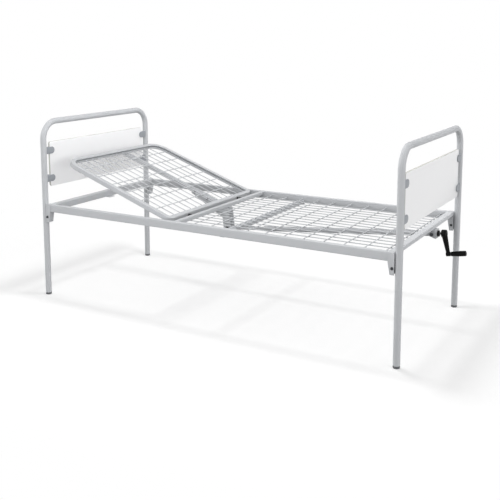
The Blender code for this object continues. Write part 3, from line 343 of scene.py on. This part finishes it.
def finish(name):
    """The bed's material of that name, made when first asked for."""
    found = bpy.data.materials.get(name)
    if found:
        return found
    colours = bpy.context.scene.bed_finishes
    makers = {
        "grey_powder_coat": lambda: powder_coat(name, colours.paint),
        "grey_wire_coat": lambda: powder_coat(name, colours.wire),
        # Painted shade: the hinge plates take a near-black coat that stands in for the shade in the hinge gap.
        "black_hinge_coat": lambda: powder_coat(name, colours.hinge),
        "white_laminate": lambda: laminate_board(name, colours.board),
        "abs_edge_band": lambda: edge_band(name, colours.edging),
        "grey_polyamide": lambda: moulded_plastic(name, colours.clip, roughness=0.50, cell_mm=0.9),
        "polyethylene_ferrule": lambda: moulded_plastic(name, colours.ferrule, roughness=0.58, cell_mm=1.2),
        "black_glass_filled_nylon": lambda: moulded_plastic(name, colours.handle, roughness=0.45, cell_mm=1.0,
                                                            gloss=0.09),
        "zinc_plated_steel": lambda: zinc_plate(name, colours.zinc),
        "turned_brass": lambda: turned_brass(name, colours.brass),
    }
    return makers[name]()


# Pieces

def add_detail(name, mesh, body):
    """Show a mesh as a piece that rides on a body. By itself it stands for no node."""
    piece = bpy.data.objects.new(name, mesh)
    bpy.context.scene.collection.objects.link(piece)
    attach(piece, body)
    return piece


def put(name, mesh, nodes):
    """Show a mesh as a piece that stands for some nodes and rides on their body."""
    piece = add_detail(name, mesh, BODY_OF[nodes[0]])
    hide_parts(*nodes)
    return piece


def whole_copy(node, merge):
    """A node's shape with its close points merged and its flat faces made whole."""
    bm = bmesh.new()
    bm.from_mesh(frame["nodes"][node].data)
    bmesh.ops.remove_doubles(bm, verts=bm.verts, dist=merge)
    bmesh.ops.dissolve_limit(bm, angle_limit=FLAT_ANGLE, verts=bm.verts, edges=bm.edges)
    return bm


def rounded(node, suffix, material, edge, clamp=True, merge=SAME_POINT):
    """Show a node's shape with its edges rounded as a bent, cut or moulded piece has them."""
    bm = whole_copy(node, merge)
    mesh = bpy.data.meshes.new(node + suffix)
    bm.to_mesh(mesh)
    bm.free()
    mesh.materials.append(finish(material))
    mesh.shade_smooth()
    piece = put(node + suffix, mesh, [node])
    step = piece.modifiers.new("edges", "BEVEL")
    step.width, step.segments = edge, EDGE_STEPS
    step.limit_method, step.angle_limit = "ANGLE", SHARP_ANGLE
    step.use_clamp_overlap = clamp
    step.harden_normals = True
    return piece


def shade_creased(mesh):
    """Shade a mesh smooth, apart from its sharp edges."""
    mesh.shade_smooth()
    mesh.set_sharp_from_angle(angle=SHARP_ANGLE)


def face_outwards(mesh):
    """Turn every face of a closed mesh outwards."""
    bm = bmesh.new()
    bm.from_mesh(mesh)
    bmesh.ops.recalc_face_normals(bm, faces=bm.faces)
    bm.to_mesh(mesh)
    bm.free()


def polyline(name, runs):
    """A mesh of loose edges, one run of points after another."""
    mesh = bpy.data.meshes.new(name)
    points = [point for run in runs for point in run]
    edges, start = [], 0
    for run in runs:
        edges += [(start + i, start + i + 1) for i in range(len(run) - 1)]
        start += len(run)
    mesh.from_pydata(points, edges, [])
    return mesh


def wire_places(points, axis, wire, low, high):
    """Middles of the wires of a mat that run square to an axis, read from where its ends are cut."""
    other = 1 - axis
    ends = sorted({round(p[axis], DIGITS) for p in points
                   if min(abs(p[other] - low[other]), abs(p[other] - high[other])) < wire / 4})
    return [(a + b) / 2 for a, b in zip(ends, ends[1:]) if abs(b - a - wire) < wire / 4]


def weld_lines(nodes, bead):
    """Lines round both ends of some cross bars: up one side, down the other and along the bottom."""
    runs = []
    for node in nodes:
        low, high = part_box(node)
        for y in (low.y, high.y):
            foot = [(x, y, low.z) for x in (low.x, high.x)]
            top = [(x, y, high.z - bead) for x in (low.x, high.x)]
            runs += [[foot[0], top[0]], [top[1], foot[1]], [foot[1], foot[0]]]
    return runs


def bolt_seeds(nodes, greatest_nut):
    """One point for each bolt head, with the sizes of the bolt read from its node."""
    facts = []
    for node in nodes:
        points = [vert.co for vert in frame["nodes"][node].data.vertices]
        low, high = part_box(node)
        x, z = (low.x + high.x) / 2, (low.z + high.z) / 2
        radius = (high.z - low.z) / 2
        reach = [(p.y, hypot(p.x - x, p.z - z)) for p in points]
        shank = min(r for _, r in reach if r > radius * CENTRE_SHARE)
        wide = sorted({round(y, DIGITS) for y, r in reach if r > radius * RIM_SHARE})
        for end, other in ((low.y, high.y), (high.y, low.y)):
            if not any(abs(y - end) < SAME_LEVEL for y in wide):
                continue
            out = 1 if end > other else -1
            under = min((y for y in wide if abs(y - end) > NEXT_LEVEL), key=lambda y: abs(y - end))
            two_heads = any(abs(y - other) < SAME_LEVEL for y in wide)
            length = abs(under - other) / (2 if two_heads else 1)
            nut = 0.0 if two_heads else min(greatest_nut, length * NUT_SHARE)
            facts.append({
                "head_place": (x, under, z), "turn": (-out * pi / 2, 0, 0),
                "head_size": (radius, radius, abs(end - under)), "shank_size": (shank, shank, length),
                "nut_place": (x, other + out * nut, z),
                "nut_size": (radius * NUT_RADIUS, radius * NUT_RADIUS, nut)})
    seed = bpy.data.meshes.new("bolt_seed")
    seed.from_pydata([fact["head_place"] for fact in facts], [], [])
    for label in facts[0]:
        store = seed.attributes.new(label, "FLOAT_VECTOR", "POINT")
        store.data.foreach_set("vector", [number for fact in facts for number in fact[label]])
    nuts = seed.attributes.new("has_nut", "BOOLEAN", "POINT")
    nuts.data.foreach_set("value", [fact["nut_size"][2] > 0 for fact in facts])
    return seed


# The backrest's frame

def frame_stations():
    """Pairs of points round the frame, on its outer and its inner wall, and half its height.

    They lie in the backrest's own axes.
    """
    bm = whole_copy("backrest_frame", SAME_POINT)
    bm.transform(BACKREST.inverted())
    half = max(vert.co.z for vert in bm.verts)
    shoulder = max(vert.co.z for vert in bm.verts if vert.co.z < half - NEXT_LEVEL)
    wall = [vert.co.xy for vert in bm.verts if abs(vert.co.z - shoulder) < SAME_LEVEL]
    bm.free()
    hull = set(convex_hull_2d(wall))
    middle = sum(wall, Vector((0, 0))) / len(wall)
    outer, inner = (sorted((point for index, point in enumerate(wall) if (index in hull) == outside),
                           key=lambda point: atan2(point.y - middle.y, point.x - middle.x))
                    for outside in (True, False))
    return list(zip(outer, inner)), half


def quarter_turn(x, z, radius, start):
    """Points of a quarter circle, clockwise from an angle."""
    angles = [start - step * pi / (2 * CORNER_STEPS) for step in range(CORNER_STEPS + 1)]
    return [(x + radius * cos(angle), z + radius * sin(angle)) for angle in angles]


def slotted_section(width, half, sizes):
    """Section of the frame's bar, from its outer wall inwards: round edges, and a slot in the inner wall."""
    edge, top = sizes.frame_edge, half - sizes.slot_level
    low, deep = top - sizes.slot_height, width - sizes.slot_depth
    return [*quarter_turn(edge, half - edge, edge, pi),
            *quarter_turn(width - edge, half - edge, edge, pi / 2),
            (width, top), (deep, top), (deep, low), (width, low),
            *quarter_turn(width - edge, edge - half, edge, 0.0),
            *quarter_turn(edge, edge - half, edge, -pi / 2)]


def slotted_frame(sizes):
    """The backrest's frame, swept round its bends, with a slot let into its inside."""
    stations, half = frame_stations()
    points, faces = [], []
    for outer, inner in stations:
        across = (inner - outer).normalized()
        for reach, z in slotted_section((inner - outer).length, half, sizes):
            points.append(BACKREST @ Vector((*(outer + across * reach), z)))
    count = len(points) // len(stations)
    for i in range(len(stations)):
        here, after = i * count, (i + 1) % len(stations) * count
        for k in range(count):
            then = (k + 1) % count
            faces.append((here + k, after + k, after + then, here + then))
    mesh = bpy.data.meshes.new("backrest_frame_tube")
    mesh.from_pydata(points, [], faces)
    face_outwards(mesh)
    mesh.materials.append(finish("grey_powder_coat"))
    shade_creased(mesh)
    return mesh


# Geometry node trees

def new_tree(name, inputs):
    """A geometry tree with named inputs. Returns it and the sockets of its inputs."""
    tree = bpy.data.node_groups.new(name, "GeometryNodeTree")
    tree.interface.new_socket("Geometry", in_out="INPUT", socket_type="NodeSocketGeometry")
    for label, kind in inputs.items():
        tree.interface.new_socket(label, in_out="INPUT", socket_type="NodeSocket" + kind)
    tree.interface.new_socket("Geometry", in_out="OUTPUT", socket_type="NodeSocketGeometry")
    return tree, add(tree, "NodeGroupInput").outputs


def end_tree(tree, shapes, material, smooth=True):
    """Close a tree: join its shapes, make instances real, shade them and give them their material."""
    joined = add(tree, "GeometryNodeJoinGeometry")
    for shape in shapes:
        tree.links.new(shape, joined.inputs[0])
    shown = result(tree, "GeometryNodeRealizeInstances", {"Geometry": joined.outputs[0]})
    if smooth:
        shown = result(tree, "GeometryNodeSetShadeSmooth", {"Geometry": shown})
    painted = result(tree, "GeometryNodeSetMaterial", {"Geometry": shown, "Material": material})
    add(tree, "NodeGroupOutput", {0: painted})
    return tree


def circle(tree, sides, radius):
    """A ring to sweep along a line."""
    return result(tree, "GeometryNodeCurvePrimitiveCircle", {"Resolution": sides, "Radius": radius})


def sweep(tree, line, ring):
    """A closed bar along a line."""
    return result(tree, "GeometryNodeCurveToMesh", {"Curve": line, "Profile Curve": ring, "Fill Caps": True})


def cylinder(tree, sides, radius=1.0, level=-0.5):
    """An upright cylinder one unit high, with its middle at a level. By default it hangs under the origin."""
    shape = result(tree, "GeometryNodeMeshCylinder", {"Vertices": sides, "Radius": radius, "Depth": 1.0})
    return result(tree, "GeometryNodeTransform", {"Geometry": shape, "Translation": (0.0, 0.0, level)})


def drop(tree, radius):
    """A small round drop of weld metal."""
    return result(tree, "GeometryNodeMeshUVSphere", {"Segments": DROP_SIDES, "Rings": DROP_RINGS,
                                                     "Radius": radius})


def row(tree, count, first, step):
    """A row of points."""
    return result(tree, "GeometryNodeMeshLine", {"Count": count, "Start Location": first, "Offset": step})


def copies(tree, points, shape, **placing):
    """A shape at every point."""
    return result(tree, "GeometryNodeInstanceOnPoints", {"Points": points, "Instance": shape, **placing})


def stored(tree, label, kind="FLOAT_VECTOR"):
    """What each point of the seed carries under a label."""
    return result(tree, "GeometryNodeInputNamedAttribute", {"Name": label}, data_type=kind)


def grow(name, seed, tree, values):
    """Run a tree on a seed mesh and return what grows as a plain mesh."""
    carrier = bpy.data.objects.new(name + "_seed", seed)
    step = carrier.modifiers.new(tree.name, "NODES")
    step.node_group = tree
    for item in tree.interface.items_tree:
        if item.in_out == "INPUT" and item.name in values:
            step[item.identifier] = values[item.name]
    bpy.context.scene.collection.objects.link(carrier)
    depsgraph = bpy.context.evaluated_depsgraph_get()
    mesh = bpy.data.meshes.new_from_object(carrier.evaluated_get(depsgraph))
    bpy.data.objects.remove(carrier)
    bpy.data.meshes.remove(seed)
    mesh.name = name
    face_outwards(mesh)
    return mesh


def bent_tube_tree():
    """A tube along a run of straight lines whose corners are bent to a radius."""
    tree, given = new_tree("bent_tube", {
        "Bend": "Float", "Tube": "Float", "Sides": "Int", "Material": "Material"})
    line = result(tree, "GeometryNodeMeshToCurve", {"Mesh": given["Geometry"]})
    bent = result(tree, "GeometryNodeFilletCurve", {"Curve": line, "Count": BEND_STEPS,
                                                    "Radius": given["Bend"]}, mode="POLY")
    tube = sweep(tree, bent, circle(tree, given["Sides"], given["Tube"]))
    return end_tree(tree, [tube], given["Material"])


def wire_mat_tree():
    """A mat of lengthwise wires with cross wires lying on them and a weld at each crossing."""
    tree, given = new_tree("welded_wire_mat", {
        "Long Count": "Int", "Long First": "Vector", "Long Step": "Vector", "Long Run": "Vector",
        "Cross Count": "Int", "Cross First": "Vector", "Cross Step": "Vector", "Cross Run": "Vector",
        "Weld First": "Vector", "Weld Start": "Vector", "Wire": "Float", "Nugget": "Float",
        "Material": "Material"})
    ring = circle(tree, WIRE_SIDES, given["Wire"])
    layers = []
    for label in ("Long", "Cross"):
        line = result(tree, "GeometryNodeCurvePrimitiveLine", {"End": given[label + " Run"]})
        places = row(tree, given[label + " Count"], given[label + " First"], given[label + " Step"])
        layers.append(copies(tree, places, sweep(tree, line, ring)))
    weld_row = row(tree, given["Long Count"], given["Weld Start"], given["Long Step"])
    weld_rows = row(tree, given["Cross Count"], given["Weld First"], given["Cross Step"])
    layers.append(copies(tree, weld_rows, copies(tree, weld_row, drop(tree, given["Nugget"]))))
    return end_tree(tree, layers, given["Material"])


def socket_bolt_tree():
    """A bolt at each point: a chamfered round head with a hexagon socket, its shank and a nut on the end."""
    tree, given = new_tree("socket_bolts", {"Material": "Material"})
    blank = result(tree, "GeometryNodeMeshCone", {"Vertices": HEAD_SIDES, "Radius Top": HEAD_TOP,
                                                  "Radius Bottom": 1.0, "Depth": 1.0})
    key = cylinder(tree, HEXAGON, KEY_RADIUS, KEY_LEVEL)
    head = result(tree, "GeometryNodeMeshBoolean", {"Mesh 1": blank, "Mesh 2": key}, operation="DIFFERENCE")
    turn, threaded = stored(tree, "turn"), stored(tree, "has_nut", "BOOLEAN")
    shapes = []
    for shape, place, size, chosen in ((head, "head_place", "head_size", True),
                                       (cylinder(tree, SHANK_SIDES), "head_place", "shank_size", True),
                                       (cylinder(tree, HEXAGON), "nut_place", "nut_size", threaded)):
        moved = result(tree, "GeometryNodeSetPosition", {"Geometry": given["Geometry"],
                                                         "Position": stored(tree, place)})
        shapes.append(copies(tree, moved, shape, Selection=chosen, Rotation=turn, Scale=stored(tree, size)))
    return end_tree(tree, shapes, given["Material"], smooth=False)


def weld_bead_tree():
    """A rippled weld bead along each line."""
    tree, given = new_tree("weld_beads", {"Bead": "Float", "Step": "Float", "Material": "Material"})
    line = result(tree, "GeometryNodeMeshToCurve", {"Mesh": given["Geometry"]})
    steps = result(tree, "GeometryNodeResampleCurve", {"Curve": line, "Length": given["Step"]}, mode="LENGTH")
    vary = result(tree, "FunctionNodeRandomValue", {0: LEAST_RIPPLE, 1: GREATEST_RIPPLE, "Seed": RIPPLE_SEED},
                  data_type="FLOAT_VECTOR")
    beads = copies(tree, steps, drop(tree, given["Bead"]), Scale=vary)
    return end_tree(tree, [beads], given["Material"])


# Operators

class BED_OT_end_hoops(Operator):
    """Bend the two end hoops and cap their legs"""
    bl_idname = "bed.end_hoops"
    bl_label = "End hoops"

    def execute(self, context):
        sizes = context.scene.bed_sizes
        tree = bent_tube_tree()
        for end in ENDS:
            low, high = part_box(end + "_hoop")
            tube = (high.x - low.x) / 2
            x, y, top = (low.x + high.x) / 2, high.y - tube, high.z - tube
            path = [(x, -y, low.z), (x, -y, top), (x, y, top), (x, y, low.z)]
            mesh = grow(end + "_hoop_tube", polyline("hoop_line", [path]), tree, {
                "Bend": sizes.hoop_bend, "Tube": tube, "Sides": sizes.tube_sides,
                "Material": finish("grey_powder_coat")})
            put(end + "_hoop_tube", mesh, [end + "_hoop"])
            for side in SIDES:
                rounded(f"{end}_{side}_foot_cap", "_ferrule", "polyethylene_ferrule", sizes.bar_edge)
        return {"FINISHED"}


class BED_OT_end_panels(Operator):
    """Fit the white panels and the clips that hold them"""
    bl_idname = "bed.end_panels"
    bl_label = "End panels and clips"

    def execute(self, context):
        sizes = context.scene.bed_sizes
        for end in ENDS:
            board = rounded(end + "_panel", "_board", "white_laminate", sizes.board_edge)
            board.data.materials.append(finish("abs_edge_band"))
            for face in board.data.polygons:
                looks_along_bed = abs(face.normal.x) > 0.5
                face.material_index = 0 if looks_along_bed else 1
            for side in SIDES:
                for level in LEVELS:
                    rounded(f"{end}_{side}_{level}_clip", "_moulding", "grey_polyamide", sizes.clip_edge)
        return {"FINISHED"}


class BED_OT_base_frame(Operator):
    """Build the rails, cross bars and corner brackets and weld them together"""
    bl_idname = "bed.base_frame"
    bl_label = "Base frame"

    def execute(self, context):
        sizes = context.scene.bed_sizes
        for node in RAILS + CROSS_BARS:
            rounded(node, "_tube", "grey_powder_coat", sizes.bar_edge)
        for node in ["backrest_stop", "crank_bracket"] + [corner + "_corner_bracket" for corner in CORNERS]:
            rounded(node, "_plate", "grey_powder_coat", sizes.plate_edge, clamp=False)
        for side in SIDES:
            # The hinge ears are coloured near black as painted shade for the hinge gap.
            rounded(side + "_hinge_ear", "_plate", "black_hinge_coat", sizes.plate_edge, clamp=False)
        lines = polyline("weld_lines", weld_lines(CROSS_BARS, sizes.bead))
        mesh = grow("base_frame_welds", lines, weld_bead_tree(), {
            "Bead": sizes.bead, "Step": sizes.bead_step, "Material": finish("grey_powder_coat")})
        add_detail("base_frame_welds", mesh, BODY_OF["near_side_rail"])
        return {"FINISHED"}


class BED_OT_wire_meshes(Operator):
    """Weld the wire mats of the seat and the backrest"""
    bl_idname = "bed.wire_meshes"
    bl_label = "Wire meshes"

    def execute(self, context):
        sizes = context.scene.bed_sizes
        tree = wire_mat_tree()
        for node, name, place in (("seat_mesh", "seat_wires", Matrix.Identity(4)),
                                  ("backrest_mesh", "backrest_wires", BACKREST)):
            back = place.inverted()
            points = [back @ vert.co for vert in frame["nodes"][node].data.vertices]
            low, high = ([pick(p[i] for p in points) for i in range(3)] for pick in (min, max))
            rows = wire_places(points, 1, sizes.wire, low, high)
            columns = wire_places(points, 0, sizes.wire, low, high)
            radius = sizes.wire / 2
            level = high[2] - radius
            over = level + sizes.wire * WIRE_RISE
            row_step = (rows[-1] - rows[0]) / (len(rows) - 1)
            column_step = (columns[-1] - columns[0]) / (len(columns) - 1)
            mesh = grow(name, polyline("mat_seed", [[(0, 0, 0), (1, 0, 0)]]), tree, {
                "Long Count": len(rows), "Long First": (low[0], rows[0], level),
                "Long Step": (0, row_step, 0), "Long Run": (high[0] - low[0], 0, 0),
                "Cross Count": len(columns), "Cross First": (columns[0], low[1], over),
                "Cross Step": (column_step, 0, 0), "Cross Run": (0, high[1] - low[1], 0),
                "Weld First": (columns[0], 0, 0), "Weld Start": (0, rows[0], (level + over) / 2),
                "Wire": radius, "Nugget": sizes.nugget, "Material": finish("grey_wire_coat")})
            mesh.transform(place)
            put(name, mesh, [node])
        return {"FINISHED"}


class BED_OT_backrest(Operator):
    """Build the tilting frame, its spine, hinge straps and levers"""
    bl_idname = "bed.backrest"
    bl_label = "Backrest"

    def execute(self, context):
        sizes = context.scene.bed_sizes
        put("backrest_frame_tube", slotted_frame(sizes), ["backrest_frame"])
        rounded("backrest_spine", "_channel", "grey_powder_coat", sizes.plate_edge, clamp=False)
        for side in SIDES:
            # The hinge straps are coloured near black as painted shade for the hinge gap.
            rounded(side + "_hinge_strap", "_plate", "black_hinge_coat", sizes.plate_edge, clamp=False)
            rounded(side + "_lever_plate", "_plate", "grey_powder_coat", sizes.plate_edge, clamp=False)
        return {"FINISHED"}


class BED_OT_jack(Operator):
    """Build the jack that pushes the backrest up"""
    bl_idname = "bed.jack"
    bl_label = "Jack"

    def execute(self, context):
        edge = context.scene.bed_sizes.jack_edge
        for node, suffix, material in (("guide_tube", "_tube", "grey_powder_coat"),
                                       ("push_tube", "_tube", "grey_powder_coat"),
                                       ("guide_bush", "_moulding", "black_glass_filled_nylon"),
                                       ("spindle_bush", "_moulding", "black_glass_filled_nylon"),
                                       ("spindle_nut", "_turned", "turned_brass"),
                                       ("drive_pin", "_turned", "zinc_plated_steel"),
                                       ("drive_screw", "_turned", "zinc_plated_steel")):
            rounded(node, suffix, material, edge)
        return {"FINISHED"}


class BED_OT_crank(Operator):
    """Mould the crank and its turning grip"""
    bl_idname = "bed.crank"
    bl_label = "Crank"

    def execute(self, context):
        sizes = context.scene.bed_sizes
        rounded("crank_arm", "_moulding", "black_glass_filled_nylon", sizes.handle_edge, merge=SAME_ARM_POINT)
        rounded("crank_grip", "_moulding", "black_glass_filled_nylon", sizes.handle_edge)
        rounded("grip_pin", "_turned", "zinc_plated_steel", sizes.pin_edge)
        return {"FINISHED"}


class BED_OT_bolts(Operator):
    """Put in the bolts and pins"""
    bl_idname = "bed.bolts"
    bl_label = "Bolts"

    def execute(self, context):
        tree = socket_bolt_tree()
        frame_bolts = [corner + "_corner_bolt" for corner in CORNERS]
        frame_bolts += [side + kind for kind in ("_trunnion_bolt", "_hinge_pin") for side in SIDES]
        for name, nodes in (("frame_bolts", frame_bolts),
                            ("lever_bolts", ["front_lever_bolt", "rear_lever_bolt"])):
            seeds = bolt_seeds(nodes, context.scene.bed_sizes.nut)
            mesh = grow(name, seeds, tree, {"Material": finish("zinc_plated_steel")})
            shade_creased(mesh)
            put(name, mesh, nodes)
        return {"FINISHED"}


class BED_OT_studio(Operator):
    """Set up the pale floor, the soft light and the camera"""
    bl_idname = "bed.studio"
    bl_label = "Studio"

    def execute(self, context):
        scene, set_up = context.scene, context.scene.bed_studio
        scene.view_settings.view_transform = "Standard"
        stand_camera(scene, set_up)
        floor = lay_floor(scene, set_up)
        hang_globe(scene, set_up)
        for name, (place, target) in SOFTBOX_PLACES.items():
            stand_softbox(scene, name, place, target, getattr(set_up, name), floor)
        light_room(scene, set_up)
        return {"FINISHED"}


# Studio

def look_along(thing, way):
    """Turn a camera or a lamp to look along a direction."""
    thing.rotation_mode = "QUATERNION"
    thing.rotation_quaternion = way.to_track_quat("-Z", "Y")


def stand_camera(scene, set_up):
    """A camera fitted to the photograph, with its picture shifted as far as the other views allow."""
    camera = bpy.data.objects.new("studio_camera", bpy.data.cameras.new("studio_camera"))
    scene.collection.objects.link(camera)
    camera.data.sensor_width = SENSOR_MM
    camera.data.lens = set_up.lens_pixels / PICTURE_PIXELS * SENSOR_MM
    camera.data.shift_y = set_up.shift
    camera.location = set_up.place
    azimuth, elevation = set_up.azimuth, set_up.elevation
    back = Vector((sin(azimuth) * cos(elevation), -cos(azimuth) * cos(elevation), sin(elevation)))
    look_along(camera, -back)
    scene.camera = camera


def seen_directly(tree):
    """1 for rays from the camera and for those seen in gloss or through something clear, and otherwise 0."""
    path = add(tree, "ShaderNodeLightPath").outputs
    either = calculate(tree, "MAXIMUM", path["Is Camera Ray"], path["Is Glossy Ray"])
    return calculate(tree, "MAXIMUM", either, path["Is Transmission Ray"])


def lay_floor(scene, set_up):
    """A wide pale floor that holds the bed's soft shadow and fades to white further out."""
    mesh = bpy.data.meshes.new("studio_floor")
    bm = bmesh.new()
    bmesh.ops.create_grid(bm, x_segments=FLOOR_CELLS, y_segments=FLOOR_CELLS, size=FLOOR_REACH)
    bm.to_mesh(mesh)
    bm.free()
    floor = bpy.data.objects.new("studio_floor", mesh)
    scene.collection.objects.link(floor)
    made = bpy.data.materials.new("painted_studio_floor")
    made.use_nodes = True
    tree = made.node_tree
    tree.nodes.clear()
    seen = seen_directly(tree)
    tone = mix_colours(tree, seen, (set_up.floor_bounce,) * 3, scene.bed_finishes.floor)
    matt = result(tree, "ShaderNodeBsdfDiffuse", {"Color": tone})
    lift = calculate(tree, "MULTIPLY", seen, set_up.floor_lift)
    glow = result(tree, "ShaderNodeEmission", {"Color": WHITE, "Strength": lift})
    near = result(tree, "ShaderNodeAddShader", {0: matt, 1: glow})
    white = result(tree, "ShaderNodeEmission", {"Color": WHITE, "Strength": 1.0})
    place = add(tree, "ShaderNodeTexCoord").outputs["Object"]
    squeezed = result(tree, "ShaderNodeMapping", {"Vector": place, "Scale": FADE_SQUEEZE})
    away = add(tree, "ShaderNodeVectorMath", {0: squeezed}, operation="LENGTH").outputs["Value"]
    fade = result(tree, "ShaderNodeMapRange", {"Value": away, "From Min": FADE_NEAR, "From Max": FADE_FAR},
                  interpolation_type="SMOOTHSTEP")
    share = calculate(tree, "MULTIPLY", fade, seen)
    mixed = result(tree, "ShaderNodeMixShader", {0: share, 1: near, 2: white})
    add(tree, "ShaderNodeOutputMaterial", {"Surface": mixed})
    mesh.materials.append(made)
    return floor


def hang_globe(scene, set_up):
    """A soft globe high over the middle of the bed, which draws the bars' shadows on the floor."""
    lamp = bpy.data.lights.new("overhead_globe", "POINT")
    lamp.shadow_soft_size, lamp.energy = set_up.globe_size, set_up.globe
    lamp.use_nodes = True
    reach = add(lamp.node_tree, "ShaderNodeLightFalloff", {"Strength": 1.0})
    lamp.node_tree.links.new(reach.outputs["Constant"], lamp.node_tree.nodes["Emission"].inputs["Strength"])
    globe = bpy.data.objects.new("overhead_globe", lamp)
    globe.location = (0.0, 0.0, set_up.globe_height)
    scene.collection.objects.link(globe)


def stand_softbox(scene, name, place, target, power, floor):
    """A tall softbox that lights the bed and leaves the floor to the other lights."""
    lamp = bpy.data.lights.new(name, "AREA")
    lamp.shape, lamp.size, lamp.size_y, lamp.energy = "RECTANGLE", SOFTBOX_WIDTH, SOFTBOX_HEIGHT, power
    box = bpy.data.objects.new(name, lamp)
    scene.collection.objects.link(box)
    box.location = place
    look_along(box, Vector(target) - Vector(place))
    spared = bpy.data.collections.new(name + "_spares")
    spared.objects.link(floor)
    spared.collection_objects[0].light_linking.link_state = "EXCLUDE"
    box.light_linking.receiver_collection = spared


def light_room(scene, set_up):
    """A white room, brighter at both ends of the bed, that looks plain white to the camera."""
    room = bpy.data.worlds.new("white_room")
    scene.world = room
    room.use_nodes = True
    tree = room.node_tree
    tree.nodes.clear()
    way = add(tree, "ShaderNodeTexCoord").outputs["Generated"]
    along = add(tree, "ShaderNodeSeparateXYZ", {0: way}).outputs["X"]
    ends = calculate(tree, "POWER", calculate(tree, "ABSOLUTE", along), set_up.sky_focus)
    even = result(tree, "ShaderNodeMapRange", {"Value": ends, "To Min": set_up.sky,
                                               "To Max": set_up.sky_side})
    strength = result(tree, "ShaderNodeMix", {0: seen_directly(tree), 2: even, 3: 1.0}, data_type="FLOAT")
    light = result(tree, "ShaderNodeBackground", {"Color": WHITE, "Strength": strength})
    add(tree, "ShaderNodeOutputWorld", {"Surface": light})


# Panel and registration

BUILD_ORDER = (BED_OT_studio, BED_OT_end_hoops, BED_OT_end_panels, BED_OT_base_frame, BED_OT_wire_meshes,
               BED_OT_backrest, BED_OT_jack, BED_OT_crank, BED_OT_bolts)


class BED_PT_builder(Panel):
    """Lists the bed's pieces in the order they are made"""
    bl_idname = "BED_PT_builder"
    bl_label = "Hospital bed"
    bl_space_type = "VIEW_3D"
    bl_region_type = "UI"
    bl_category = "Bed"

    def draw(self, context):
        column = self.layout.column()
        for operator in BUILD_ORDER:
            column.operator(operator.bl_idname)
        for group in (context.scene.bed_finishes, context.scene.bed_sizes, context.scene.bed_studio):
            for name in group.__annotations__:
                column.prop(group, name)


CLASSES = (BedFinishes, BedSizes, StudioSettings, *BUILD_ORDER, BED_PT_builder)


def register():
    for cls in CLASSES:
        bpy.utils.register_class(cls)
    bpy.types.Scene.bed_finishes = PointerProperty(type=BedFinishes)
    bpy.types.Scene.bed_sizes = PointerProperty(type=BedSizes)
    bpy.types.Scene.bed_studio = PointerProperty(type=StudioSettings)


def unregister():
    del bpy.types.Scene.bed_studio
    del bpy.types.Scene.bed_sizes
    del bpy.types.Scene.bed_finishes
    for cls in reversed(CLASSES):
        bpy.utils.unregister_class(cls)


def main():
    register()
    for operator in BUILD_ORDER:
        group, name = operator.bl_idname.split(".")
        getattr(getattr(bpy.ops, group), name)()


if __name__ == "__main__":
    main()
